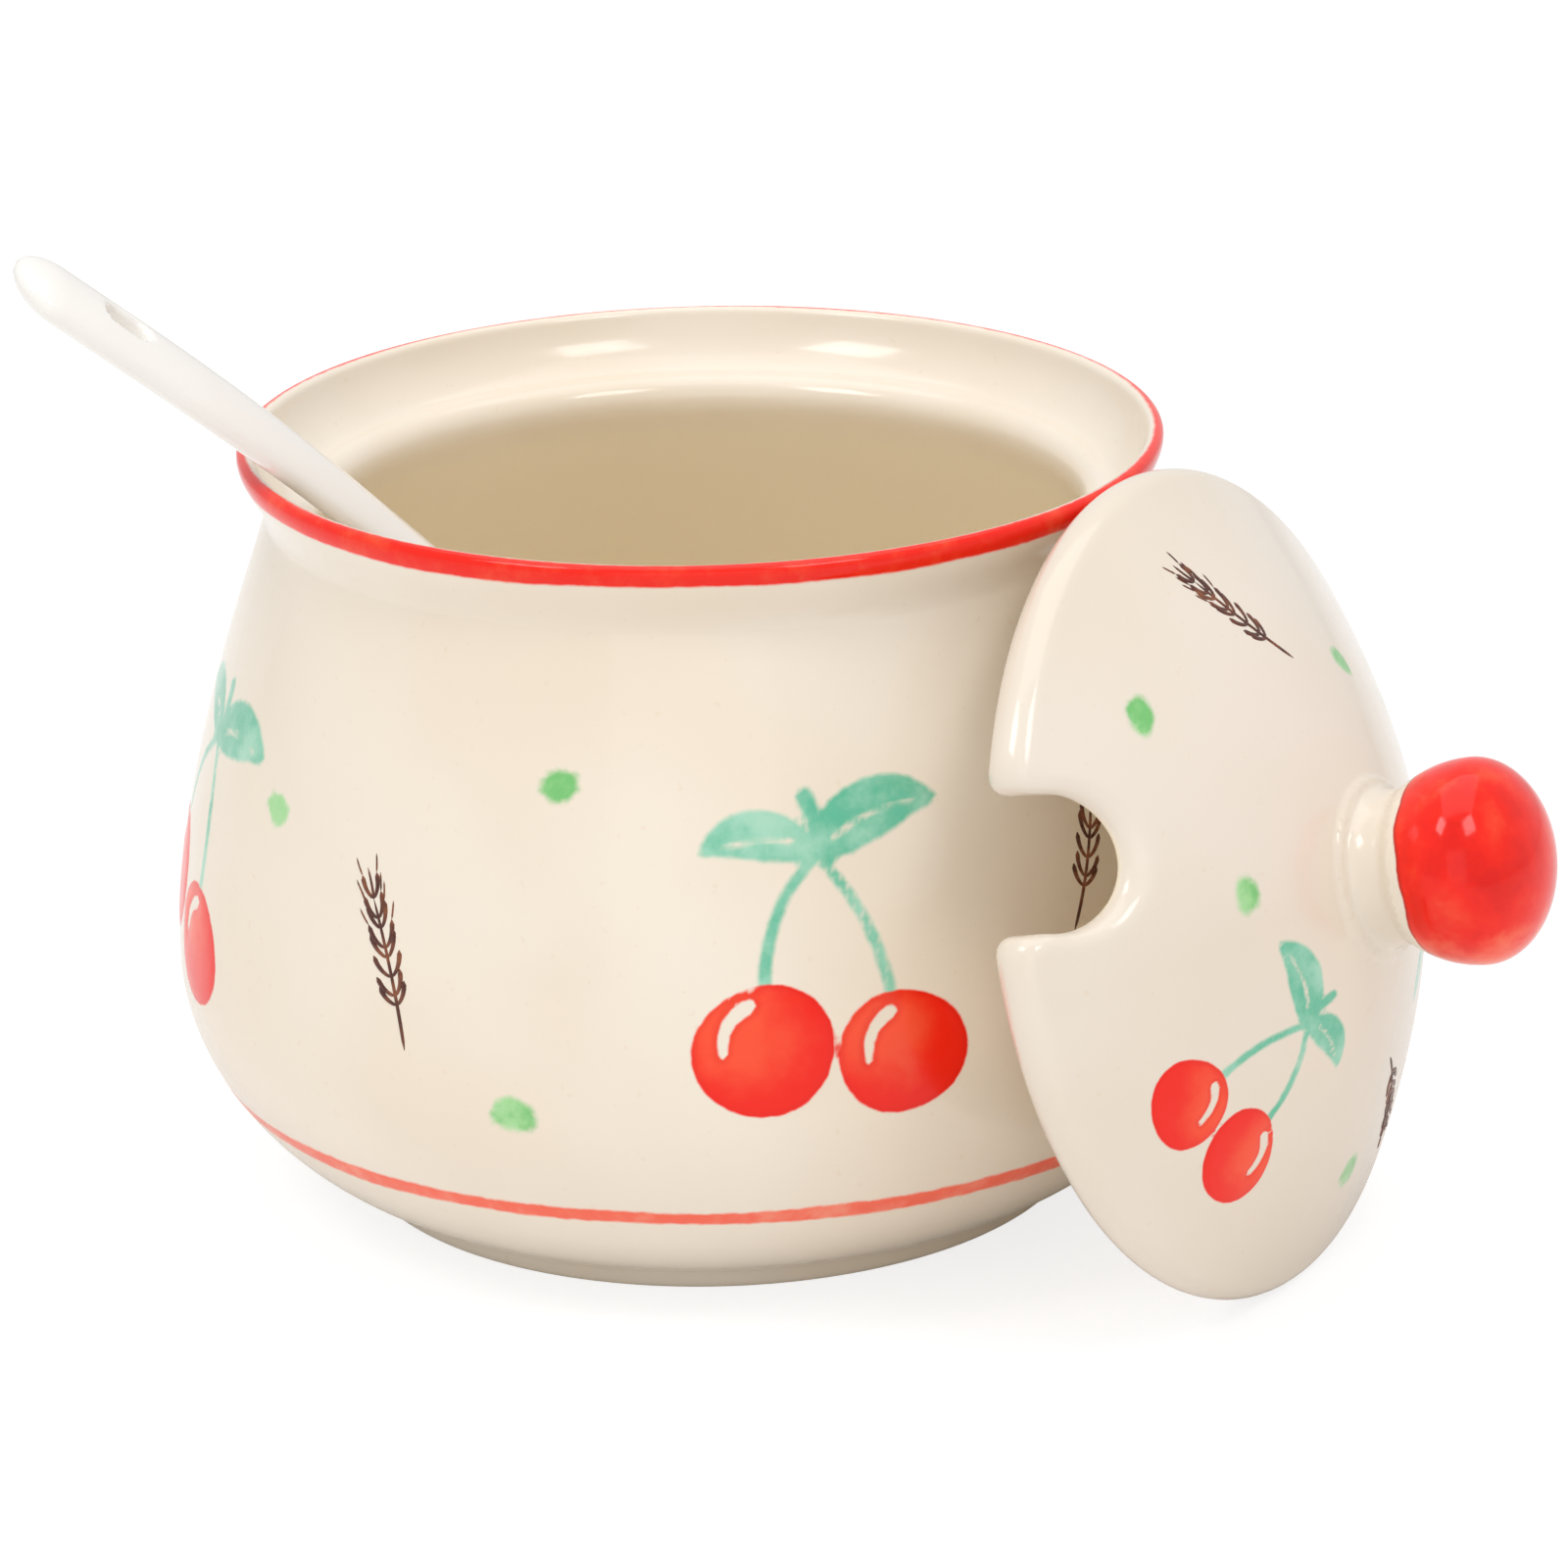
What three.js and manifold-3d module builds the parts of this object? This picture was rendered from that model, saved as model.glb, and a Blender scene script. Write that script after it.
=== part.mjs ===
// Round-bellied ceramic seasoning jar, with a cone-shaped lid that has a spoon notch and a ball knob,
// and a ceramic spoon. The set is shown open: the spoon stands in the jar and rests on the lip,
// and the lid stands on its rim beside the jar and leans on the lip.
// Millimetres, +Z up. The origin is the middle of the set's footprint, on the table.

import * as THREE from 'three';
import { mergeVertices } from 'three/addons/utils/BufferGeometryUtils.js';
import Module from 'manifold-3d';

// Fits between the pieces
const seatGap = 0.3;
const lidClearance = 0.6;

// Lid
const lidRadius = 41.1;
const lidWall = 3.2;
const lidRimRadius = 3;
const lidRimFlat = 1.6;
const lidDomeHeight = 21.6;
const lidDomeSwell = 2.5;
const stemBaseRadius = 8.8;
const stemRingHeight = 0.5;
const stemRadius = 7.65;
const stemHeight = 3;
const notchWidth = 13.2;
const notchDepth = 11.2;
const notchCornerRadius = 3.2;

// Knob
const knobRadius = 10.1;
const knobTopHeight = 6.8;
const knobUnderHeight = 10.7;
const knobFlatRadius = 7.6;

// Jar
const jarHeight = 78.9;
const bellyRadius = 55.2;
const bellyHeight = 24.8;
const jarWall = 3.6;
const neckWall = 2.65;
const neckDrop = 7.6;
const lipFlare = 2.6;
const lipThickness = 2.6;
const ledgeDrop = 6.3;
const ledgeWidth = 2.6;
const ledgeEdgeRadius = 1.7;
const ledgeThickness = 2.8;
const footRadius = 37.7;
const footHeight = 2.4;
const footRingWidth = 4;
const footRecess = 1.6;
const footEdgeRadius = 0.6;
const floorThickness = 3.9;

// Spoon
const handleLength = 100.7;
const handleWidth = 11;
const handleThickness = 4.2;
const handleEndLength = 5;
const handleNeckWidth = 8.5;
const handleNeckThickness = 3.7;
const handleBend = 5.65;
const handleBendStart = 10;
const handleBendEnd = 55;
const bowlLength = 46;
const bowlWidth = 29;
const bowlDepth = 9.5;
const bowlWall = 2.6;
const bowlPitch = 6.2;
const hangHoleLength = 5.2;
const hangHoleWidth = 3.4;
const hangHoleFromEnd = 12.6;

// Where the lid and the spoon lie, in degrees and millimetres
const lidAzimuth = -29.4;
const lidLean = 13.3;
const lidSpin = -111;
const lidSideShift = -4.5;
const spoonAzimuth = 16.9;
const spoonLean = 39.3;
const spoonRoll = 13.4;

// How full the turned curves are, as shares of the stretch that each one spans
const footCurveOut = 0.42;
const footCurveUp = 0.06;
const bellyUnderFullness = 0.5;
const bellyOverFullness = 0.42;
const neckFullness = 0.034;
const lipFullness = 0.32;
const seatFullness = 0.35;
const hollowShoulder = 0.4;
const floorFullness = 0.55;

// Where the handle narrows, as shares of its length
const narrowingStart = 0.15;
const narrowingEnd = 0.6;

// Fineness of the facets and of the search for where the pieces come to rest
const jarSegments = 60;
const lidSegments = 60;
const knobSegments = 32;
const spoonSegments = 32;
const curveSteps = 6;
const roundSteps = 4;
const notchSegments = 10;
const holeSegments = 6;
const handleSides = 16;
const handleRuns = 10;
const handleEndShares = [0.01, 0.07, 0.2, 0.45, 0.75, 1];
const mergeTolerance = 1e-4;
const searchSteps = [0.5, 0.01];
const searchTurn = 60;
const searchTurnStep = 2;
const contactParts = 4;

const wasm = await Module();
wasm.setup();

const { degToRad } = THREE.MathUtils;

// A closed solid from a geometry: shared corners merged, slivers on the turning axis dropped
function solidOf(geometry) {
  const bare = geometry.clone();
  bare.deleteAttribute('normal');
  bare.deleteAttribute('uv');
  const merged = mergeVertices(bare, mergeTolerance);
  const corners = merged.getIndex().array;
  const kept = [];
  for (let i = 0; i < corners.length; i += 3) {
    const [a, b, c] = [corners[i], corners[i + 1], corners[i + 2]];
    if (a !== b && b !== c && c !== a) {
      kept.push(a, b, c);
    }
  }
  const vertProperties = new Float32Array(merged.getAttribute('position').array);
  const triVerts = new Uint32Array(kept);
  return new wasm.Manifold(new wasm.Mesh({ numProp: 3, vertProperties, triVerts }));
}

function geometryOf(solid) {
  const mesh = solid.getMesh();
  const geometry = new THREE.BufferGeometry();
  geometry.setAttribute('position', new THREE.BufferAttribute(mesh.vertProperties, 3));
  geometry.setIndex(new THREE.BufferAttribute(mesh.triVerts, 1));
  geometry.computeVertexNormals();
  return geometry;
}

function pieceOf(name, solid, look) {
  const mesh = new THREE.Mesh(geometryOf(solid), new THREE.MeshStandardMaterial(look));
  mesh.name = name;
  return mesh;
}

// Points along a path of lines, arcs and Bezier curves, each kind with its own number of steps
function pointsAlong(path) {
  const points = [];
  for (const curve of path.curves) {
    let steps = curveSteps;
    if (curve.isLineCurve) {
      steps = 1;
    } else if (curve.isEllipseCurve) {
      steps = roundSteps;
    }
    for (const point of curve.getPoints(steps)) {
      if (points.length === 0 || points[points.length - 1].distanceTo(point) > mergeTolerance) {
        points.push(point);
      }
    }
  }
  return points;
}

// A solid of revolution about +Z from a profile of (radius, height) points
function turned(points, segments) {
  const geometry = new THREE.LatheGeometry(points, segments);
  geometry.rotateX(Math.PI / 2);
  return solidOf(geometry);
}

// A solid through a row of closed rings of points, with a fan over each end ring
function lofted(rings) {
  const sides = rings[0].length;
  const positions = rings.flat().flatMap((point) => point.toArray());
  const corners = [];
  for (let row = 0; row + 1 < rings.length; row += 1) {
    for (let side = 0; side < sides; side += 1) {
      const here = row * sides + side;
      const beside = row * sides + (side + 1) % sides;
      corners.push(here, beside, here + sides);
      corners.push(beside, beside + sides, here + sides);
    }
  }
  const last = (rings.length - 1) * sides;
  for (let side = 1; side + 1 < sides; side += 1) {
    corners.push(0, side + 1, side);
    corners.push(last, last + side, last + side + 1);
  }
  const geometry = new THREE.BufferGeometry();
  geometry.setAttribute('position', new THREE.Float32BufferAttribute(positions, 3));
  geometry.setIndex(corners);
  return solidOf(geometry);
}

// Jar. The lid's radius sets the seat, and the seat sets the neck and the lip.
const seatRadius = lidRadius + lidClearance;
const throatRadius = lidRadius - ledgeWidth;
const neckRadius = seatRadius + neckWall;
const lipRadius = neckRadius + lipFlare;
const lipBead = lipThickness / 2;
const lipMiddle = new THREE.Vector2(lipRadius - lipBead, jarHeight - lipBead);
const ledgeHeight = jarHeight - ledgeDrop;
const neckHeight = jarHeight - neckDrop;
const floorHeight = footRecess + floorThickness;
const innerBelly = bellyRadius - jarWall;

// Outside of the jar, from the middle of its base to the outer side of the lip
function jarOutside() {
  const path = new THREE.Path();
  const rise = bellyHeight - footHeight;
  const climb = neckHeight - bellyHeight;
  const swell = bellyRadius - footRadius;
  path.moveTo(0, footRecess);
  path.lineTo(footRadius - footRingWidth - footEdgeRadius, footRecess);
  path.lineTo(footRadius - footRingWidth, 0);
  path.lineTo(footRadius - footEdgeRadius, 0);
  path.absarc(footRadius - footEdgeRadius, footEdgeRadius, footEdgeRadius, -Math.PI / 2, 0, false);
  path.lineTo(footRadius, footHeight);
  path.bezierCurveTo(
    footRadius + footCurveOut * swell, footHeight + footCurveUp * rise,
    bellyRadius, bellyHeight - bellyUnderFullness * rise,
    bellyRadius, bellyHeight,
  );
  path.bezierCurveTo(
    bellyRadius, bellyHeight + bellyOverFullness * climb,
    neckRadius, neckHeight - neckFullness * climb,
    neckRadius, neckHeight,
  );
  path.bezierCurveTo(
    neckRadius, neckHeight + lipFullness * (lipMiddle.y - neckHeight),
    lipRadius, lipMiddle.y - lipFullness * (lipMiddle.y - neckHeight),
    lipRadius, lipMiddle.y,
  );
  return pointsAlong(path);
}

// The lip's round edge and the flared seat inside it, down to the throat
function jarMouth() {
  const path = new THREE.Path();
  const edgeMiddle = ledgeHeight - ledgeEdgeRadius;
  path.absarc(lipMiddle.x, lipMiddle.y, lipBead, 0, Math.PI, false);
  path.bezierCurveTo(
    lipMiddle.x - lipBead, lipMiddle.y - seatFullness * (lipMiddle.y - ledgeHeight),
    seatRadius, ledgeHeight + seatFullness * (lipMiddle.y - ledgeHeight),
    seatRadius, ledgeHeight,
  );
  path.lineTo(throatRadius + ledgeEdgeRadius, ledgeHeight);
  path.absarc(throatRadius + ledgeEdgeRadius, edgeMiddle, ledgeEdgeRadius, Math.PI / 2, Math.PI, false);
  return pointsAlong(path);
}

// The hollow below the throat, down to the middle of the floor
function jarHollow() {
  const path = new THREE.Path();
  const under = ledgeHeight - ledgeEdgeRadius - ledgeThickness / 2;
  const widening = innerBelly - throatRadius;
  const floorEdge = footRadius - footRingWidth;
  path.moveTo(throatRadius, under);
  path.bezierCurveTo(
    throatRadius + hollowShoulder * widening, under - ledgeThickness,
    innerBelly, bellyHeight + bellyOverFullness * (under - bellyHeight),
    innerBelly, bellyHeight,
  );
  path.bezierCurveTo(
    innerBelly, bellyHeight - floorFullness * (bellyHeight - floorHeight),
    floorEdge + floorFullness * (innerBelly - floorEdge), floorHeight,
    floorEdge, floorHeight,
  );
  path.lineTo(0, floorHeight);
  return pointsAlong(path);
}

const hollowProfile = jarHollow();
const jarProfile = [...jarOutside(), ...jarMouth().slice(1), ...hollowProfile];
const jarBody = pieceOf('jar_body', turned(jarProfile, jarSegments), {
  color: 0xf3e9da,
  roughness: 0.22,
  metalness: 0,
});

// Lid, in its own frame: z = 0 is the plane of the rim's underside, and the notch lies along +X.
// The dome is a swollen cone, and its hollow is the same curve moved in by the wall's thickness.
const rimMiddle = lidRadius - lidRimRadius;
const rimTop = new THREE.Vector2(Math.SQRT1_2, 1 + Math.SQRT1_2).multiplyScalar(lidRimRadius);
rimTop.x += rimMiddle;
const domeTop = new THREE.Vector2(stemBaseRadius, lidDomeHeight);
const domeMiddle = rimTop.clone().add(domeTop).divideScalar(2);
domeMiddle.y += lidDomeSwell;
const stemFoot = lidDomeHeight + stemRingHeight;
const stemTop = stemFoot + stemHeight;

function lidHollow() {
  const run = domeTop.clone().sub(rimTop).normalize();
  const inward = new THREE.Vector2(-run.y, run.x).multiplyScalar(lidWall);
  const [top, middle, end] = [domeTop, domeMiddle, rimTop].map((point) => point.clone().add(inward));
  const points = [new THREE.Vector2(0, top.y)];
  for (const point of new THREE.QuadraticBezierCurve(top, middle, end).getPoints(2 * curveSteps)) {
    if (point.x < rimMiddle - lidRimFlat - lidWall / 2) {
      points.push(point);
    }
  }
  points.push(new THREE.Vector2(rimMiddle - lidRimFlat, 0));
  return points;
}

function lidOutside() {
  const path = new THREE.Path();
  path.absarc(rimMiddle, lidRimRadius, lidRimRadius, -Math.PI / 2, Math.PI / 4, false);
  path.quadraticCurveTo(domeMiddle.x, domeMiddle.y, domeTop.x, domeTop.y);
  path.lineTo(stemBaseRadius - stemRingHeight, stemFoot);
  path.quadraticCurveTo(stemRadius, stemFoot, stemRadius, stemFoot + stemHeight / 2);
  path.lineTo(stemRadius, stemTop);
  path.lineTo(0, stemTop);
  return pointsAlong(path);
}

// The notch that the spoon's handle passes through: a round end, straight sides, rounded corners
function notchCutter() {
  const half = notchWidth / 2;
  const endMiddle = lidRadius - notchDepth + half;
  const cornerSide = half + notchCornerRadius;
  const cornerReach = lidRadius - notchCornerRadius;
  const cornerMiddle = Math.sqrt(cornerReach ** 2 - cornerSide ** 2);
  const rimTurn = Math.atan2(cornerSide, cornerMiddle);
  const past = lidRadius + notchCornerRadius;
  const pastSide = past * Math.tan(rimTurn);
  const shape = new THREE.Shape();
  shape.moveTo(past, -pastSide);
  shape.lineTo(lidRadius * Math.cos(rimTurn), -lidRadius * Math.sin(rimTurn));
  shape.absarc(cornerMiddle, -cornerSide, notchCornerRadius, -rimTurn, Math.PI / 2, false);
  shape.absarc(endMiddle, 0, half, -Math.PI / 2, Math.PI / 2, true);
  shape.absarc(cornerMiddle, cornerSide, notchCornerRadius, -Math.PI / 2, rimTurn, false);
  shape.lineTo(past, pastSide);
  shape.closePath();
  const depth = stemTop + 2 * lidWall;
  const fineness = { depth, bevelEnabled: false, curveSegments: notchSegments };
  const geometry = new THREE.ExtrudeGeometry(shape, fineness);
  geometry.translate(0, 0, -lidWall);
  return solidOf(geometry);
}

const lidHollowProfile = lidHollow();
const lidTurned = turned([...lidHollowProfile, ...lidOutside()], lidSegments);
const lidDome = pieceOf('lid_dome', lidTurned.subtract(notchCutter()), {
  color: 0xf1e7da,
  roughness: 0.22,
  metalness: 0,
});

// Knob: a ball with a flattened top, and a fuller underside with a flat where it sits on the lid's stem
const knobFlat = knobUnderHeight * Math.sqrt(1 - (knobFlatRadius / knobRadius) ** 2);
const knobMiddle = stemTop + seatGap + knobFlat;

function knobProfile() {
  const path = new THREE.Path();
  const start = -Math.asin(knobFlat / knobUnderHeight);
  path.moveTo(0, knobMiddle - knobFlat);
  path.lineTo(knobFlatRadius, knobMiddle - knobFlat);
  path.absellipse(0, knobMiddle, knobRadius, knobUnderHeight, start, 0, false);
  const top = new THREE.EllipseCurve(0, knobMiddle, knobRadius, knobTopHeight, 0, Math.PI / 2);
  return [...pointsAlong(path), ...top.getPoints(2 * roundSteps).slice(1)];
}

const lidKnob = pieceOf('lid_knob', turned(knobProfile(), knobSegments), {
  color: 0xe8301c,
  roughness: 0.2,
  metalness: 0,
});

// Spoon, in its own frame: the handle's end at the origin, +X to the bowl's tip, +Z the bowl's open side
// The handle's middle line: straight at the end, then a bend down, then straight to the bowl
const neckSlope = degToRad(handleBend);

function handleMiddle(x) {
  const stretch = handleBendEnd - handleBendStart;
  const along = THREE.MathUtils.clamp((x - handleBendStart) / stretch, 0, 1);
  const past = Math.max(x - handleBendEnd, 0);
  return -Math.tan(neckSlope) * (stretch * (along ** 3 - along ** 4 / 2) + past);
}

// Half a size of the handle's section: it narrows toward the bowl, and it is rounded at the end
function handleHalf(x, size, neckSize, roundLength) {
  const along = THREE.MathUtils.smoothstep(x, narrowingStart * handleLength, narrowingEnd * handleLength);
  const fromEnd = Math.min(x / roundLength, 1);
  return (size + (neckSize - size) * along) / 2 * Math.sqrt(1 - (1 - fromEnd) ** 2);
}

function handleHalfWidth(x) {
  return handleHalf(x, handleWidth, handleNeckWidth, handleEndLength);
}

function handleHalfThickness(x) {
  return handleHalf(x, handleThickness, handleNeckThickness, handleThickness / 2);
}

function handleSolid() {
  const stations = handleEndShares.map((share) => share * handleEndLength);
  const reach = handleLength + 2 * bowlWall;
  for (let run = 1; run <= handleRuns; run += 1) {
    stations.push(handleEndLength + (reach - handleEndLength) * run / handleRuns);
  }
  const rings = stations.map((x) => {
    const ring = [];
    for (let side = 0; side < handleSides; side += 1) {
      const turn = 2 * Math.PI * side / handleSides;
      const y = handleHalfWidth(x) * Math.cos(turn);
      const z = handleMiddle(x) + handleHalfThickness(x) * Math.sin(turn);
      ring.push(new THREE.Vector3(x, y, z));
    }
    return ring;
  });
  return lofted(rings);
}

// Half of a stretched ball, flat side up, that makes the bowl or its hollow
function halfEgg(length, width, depth) {
  const points = new THREE.EllipseCurve(0, 0, 1, 1, -Math.PI / 2, 0).getPoints(curveSteps);
  points.push(new THREE.Vector2(0, 0));
  const geometry = new THREE.LatheGeometry(points, spoonSegments);
  geometry.rotateX(Math.PI / 2);
  geometry.scale(length / 2, width / 2, depth);
  return geometry;
}

// The bowl's open side tips up a little against the handle's slope where the two meet
const bowlTilt = neckSlope - degToRad(bowlPitch);
const bowlTop = handleNeckThickness / 2;

function placeBowl(geometry) {
  geometry.translate(bowlLength / 2 - bowlWall, 0, bowlTop);
  geometry.rotateY(bowlTilt);
  geometry.translate(handleLength, 0, handleMiddle(handleLength));
  return geometry;
}

function hangHole() {
  const half = hangHoleWidth / 2;
  const reach = (hangHoleLength - hangHoleWidth) / 2;
  const shape = new THREE.Shape();
  shape.absarc(reach, 0, half, -Math.PI / 2, Math.PI / 2, false);
  shape.absarc(-reach, 0, half, Math.PI / 2, 3 * Math.PI / 2, false);
  shape.closePath();
  const depth = 2 * handleThickness;
  const fineness = { depth, bevelEnabled: false, curveSegments: holeSegments };
  const geometry = new THREE.ExtrudeGeometry(shape, fineness);
  geometry.translate(hangHoleFromEnd, 0, handleMiddle(hangHoleFromEnd) - handleThickness);
  return solidOf(geometry);
}

const bowlOutside = placeBowl(halfEgg(bowlLength, bowlWidth, bowlDepth));
const bowlHollow = halfEgg(bowlLength - 2 * bowlWall, bowlWidth - 2 * bowlWall, bowlDepth - bowlWall);
bowlHollow.translate(0, 0, seatGap);
const spoonSolid = handleSolid()
  .add(solidOf(bowlOutside))
  .subtract(solidOf(placeBowl(bowlHollow)))
  .subtract(hangHole());
const spoon = pieceOf('spoon', spoonSolid, { color: 0xf6f4f0, roughness: 0.18, metalness: 0 });

// The spoon leans in an upright plane through the jar's axis, rolled a little about its own length.
// It is pushed in until its bowl meets the hollow's wall, while its handle stays on the lip,
// with the seat gap at both.
const spoonLeanAngle = degToRad(spoonLean);
const spoonRollAngle = degToRad(spoonRoll);
const spoonRoller = new THREE.Vector3(1, 0, 0);
const spoonAlong = new THREE.Vector2(Math.cos(spoonLeanAngle), -Math.sin(spoonLeanAngle));
const spoonUp = new THREE.Vector2(Math.sin(spoonLeanAngle), Math.cos(spoonLeanAngle));

function spoonPoints() {
  const position = spoon.geometry.getAttribute('position');
  const points = [];
  for (let i = 0; i < position.count; i += 1) {
    const point = new THREE.Vector3().fromBufferAttribute(position, i);
    points.push(point.applyAxisAngle(spoonRoller, spoonRollAngle));
  }
  return points;
}

// Height of the rolled handle's underside over the spoon's own axis
function handleUnderside(x) {
  const wide = handleHalfWidth(x) * Math.sin(spoonRollAngle);
  const thick = handleHalfThickness(x) * Math.cos(spoonRollAngle);
  return handleMiddle(x) * Math.cos(spoonRollAngle) - Math.hypot(wide, thick);
}

// Height of the handle's frame over the lip, for a given push: the underside clears the lip's bead
function spoonLift(push) {
  const lipEnd = new THREE.Vector2(-lipMiddle.x, lipMiddle.y);
  let lift = -Infinity;
  for (let x = handleEndLength; x < handleLength; x += 1) {
    const under = spoonAlong.clone().multiplyScalar(push + x);
    under.addScaledVector(spoonUp, handleUnderside(x));
    const offset = lipEnd.clone().sub(under);
    const beside = offset.dot(spoonAlong);
    const reach = lipBead + seatGap;
    if (Math.abs(beside) < reach) {
      lift = Math.max(lift, offset.dot(spoonUp) + Math.sqrt(reach ** 2 - beside ** 2));
    }
  }
  return lift;
}

function distanceToHollow(radius, height) {
  const point = new THREE.Vector3(radius, height, 0);
  const nearest = new THREE.Vector3();
  let least = Infinity;
  for (let i = 0; i + 1 < hollowProfile.length; i += 1) {
    const [a, b] = [hollowProfile[i], hollowProfile[i + 1]];
    const stretch = new THREE.Line3(new THREE.Vector3(a.x, a.y, 0), new THREE.Vector3(b.x, b.y, 0));
    stretch.closestPointToPoint(point, true, nearest);
    least = Math.min(least, nearest.distanceTo(point));
  }
  return least;
}

function spoonPlace(push) {
  return spoonAlong.clone().multiplyScalar(push).addScaledVector(spoonUp, spoonLift(push));
}

const bowlPoints = spoonPoints().filter((point) => point.x > handleLength);

function bowlGap(push) {
  const place = spoonPlace(push);
  let least = Infinity;
  for (const point of bowlPoints) {
    const across = place.x + point.x * spoonAlong.x + point.z * spoonUp.x;
    const height = place.y + point.x * spoonAlong.y + point.z * spoonUp.y;
    least = Math.min(least, distanceToHollow(Math.hypot(across, point.y), height));
  }
  return least;
}

function spoonPush() {
  let push = -handleLength - lipRadius / 2;
  for (const step of searchSteps) {
    while (bowlGap(push + step) > seatGap) {
      push += step;
    }
  }
  return push;
}

const spoonRest = spoonPlace(spoonPush());
spoon.rotation.set(spoonRollAngle, spoonLeanAngle, 0, 'YXZ');
spoon.position.set(spoonRest.x, 0, spoonRest.y);
const spoonStand = new THREE.Group();
spoonStand.rotation.z = degToRad(spoonAzimuth);
spoonStand.add(spoon);

// The lid stands on its rim and leans back until its underside meets the jar, with the seat gap between
const lidLeanAngle = degToRad(lidLean);
const leanCos = Math.cos(lidLeanAngle);
const leanSin = Math.sin(lidLeanAngle);
const lidRise = rimMiddle * leanCos + lidRimRadius * (1 - leanSin);

// How far the lid's underside stands back from the plane of its rim, at a distance from the lid's middle
function lidUnderside(radius) {
  const past = THREE.MathUtils.clamp(radius - rimMiddle, 0, lidRimRadius);
  let back = lidRimRadius - Math.sqrt(lidRimRadius ** 2 - past ** 2);
  for (let i = 0; i + 1 < lidHollowProfile.length; i += 1) {
    const [inner, outer] = [lidHollowProfile[i], lidHollowProfile[i + 1]];
    if (radius >= inner.x && radius < outer.x) {
      back = THREE.MathUtils.mapLinear(radius, inner.x, outer.x, inner.y, outer.y);
    }
  }
  return back;
}

// Points along the jar's profile, close enough for the lid's rim to meet one
function jarContactPoints() {
  const points = [];
  for (let i = 0; i + 1 < jarProfile.length; i += 1) {
    for (let part = 0; part < contactParts; part += 1) {
      points.push(jarProfile[i].clone().lerp(jarProfile[i + 1], part / contactParts));
    }
  }
  return points;
}

const jarContacts = jarContactPoints();

function lidGap(away) {
  let least = Infinity;
  for (const point of jarContacts) {
    for (let turn = -searchTurn; turn <= searchTurn; turn += searchTurnStep) {
      const x = point.x * Math.cos(degToRad(turn)) - away;
      const y = point.x * Math.sin(degToRad(turn)) - lidSideShift;
      const z = point.y - lidRise;
      const radius = Math.hypot(y, z * leanCos - x * leanSin);
      if (radius < lidRadius) {
        least = Math.min(least, lidUnderside(radius) - x * leanCos - z * leanSin);
      }
    }
  }
  return least;
}

function lidAway() {
  let away = bellyRadius + lidRadius;
  for (const step of searchSteps) {
    while (lidGap(away - step) > seatGap) {
      away -= step;
    }
  }
  return away;
}

const lid = new THREE.Group();
lid.add(lidDome, lidKnob);
lid.rotation.z = degToRad(lidSpin);
const lidTilt = new THREE.Group();
lidTilt.add(lid);
lidTilt.rotation.y = Math.PI / 2 - lidLeanAngle;
lidTilt.position.set(lidAway(), lidSideShift, lidRise);
const lidStand = new THREE.Group();
lidStand.rotation.z = degToRad(lidAzimuth);
lidStand.add(lidTilt);

// The whole set, moved so that the middle of its footprint is the origin
const set = new THREE.Group();
set.add(jarBody, lidStand, spoonStand);
set.updateMatrixWorld(true);
const footprint = new THREE.Box3().setFromObject(set, true).getCenter(new THREE.Vector3());
set.position.set(-footprint.x, -footprint.y, 0);
set.updateMatrixWorld(true);

export default set;
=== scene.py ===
import itertools
import math

import bpy
import numpy as np
from mathutils import Matrix, Vector


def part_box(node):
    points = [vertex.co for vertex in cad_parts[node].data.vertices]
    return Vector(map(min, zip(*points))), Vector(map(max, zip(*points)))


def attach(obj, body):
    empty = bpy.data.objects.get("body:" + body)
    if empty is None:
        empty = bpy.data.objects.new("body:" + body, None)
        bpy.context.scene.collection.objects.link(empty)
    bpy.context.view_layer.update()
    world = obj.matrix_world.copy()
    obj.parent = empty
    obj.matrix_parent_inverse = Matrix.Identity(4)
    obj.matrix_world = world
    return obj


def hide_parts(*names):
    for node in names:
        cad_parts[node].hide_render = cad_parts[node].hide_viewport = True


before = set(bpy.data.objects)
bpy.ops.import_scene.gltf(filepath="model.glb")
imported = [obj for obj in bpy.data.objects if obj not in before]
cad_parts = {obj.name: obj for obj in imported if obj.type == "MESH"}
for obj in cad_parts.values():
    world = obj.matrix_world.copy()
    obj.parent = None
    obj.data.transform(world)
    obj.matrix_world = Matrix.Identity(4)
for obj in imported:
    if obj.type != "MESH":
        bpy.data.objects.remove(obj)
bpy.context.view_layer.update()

MM = 0.001
FAR, PLAIN_TONE = 20.0, 0.6  # the paint's signed distance and its tone where there is no paint
TINY = 1e-9

# Sizes in millimetres, the same as those of the solids, except that LIP_T, LIP_DROP and LEDGE_EDGE
# make the lip and the ledge softer
LID_R, LID_WALL, RIM_R, RIM_FLAT = 41.1, 3.2, 3.0, 1.6
DOME_H, DOME_SWELL = 21.6, 2.5
STEM_BASE_R, STEM_RING, STEM_R, STEM_H = 8.8, 0.5, 7.65, 3.0
NOTCH_HALF, NOTCH_DEPTH = 6.6, 11.2
KNOB_R, KNOB_TOP, KNOB_UNDER, KNOB_FLAT_R = 10.1, 6.8, 10.7, 7.6
JAR_H, BELLY_R, BELLY_H = 78.9, 55.2, 24.8
JAR_WALL, NECK_WALL, NECK_DROP = 3.6, 2.65, 7.6
LIP_FLARE, LIP_T, LIP_DROP = 2.6, 1.7, 0.35
LEDGE_DROP, LEDGE_W, LEDGE_EDGE, LEDGE_T = 6.3, 2.6, 2.5, 2.8
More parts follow.
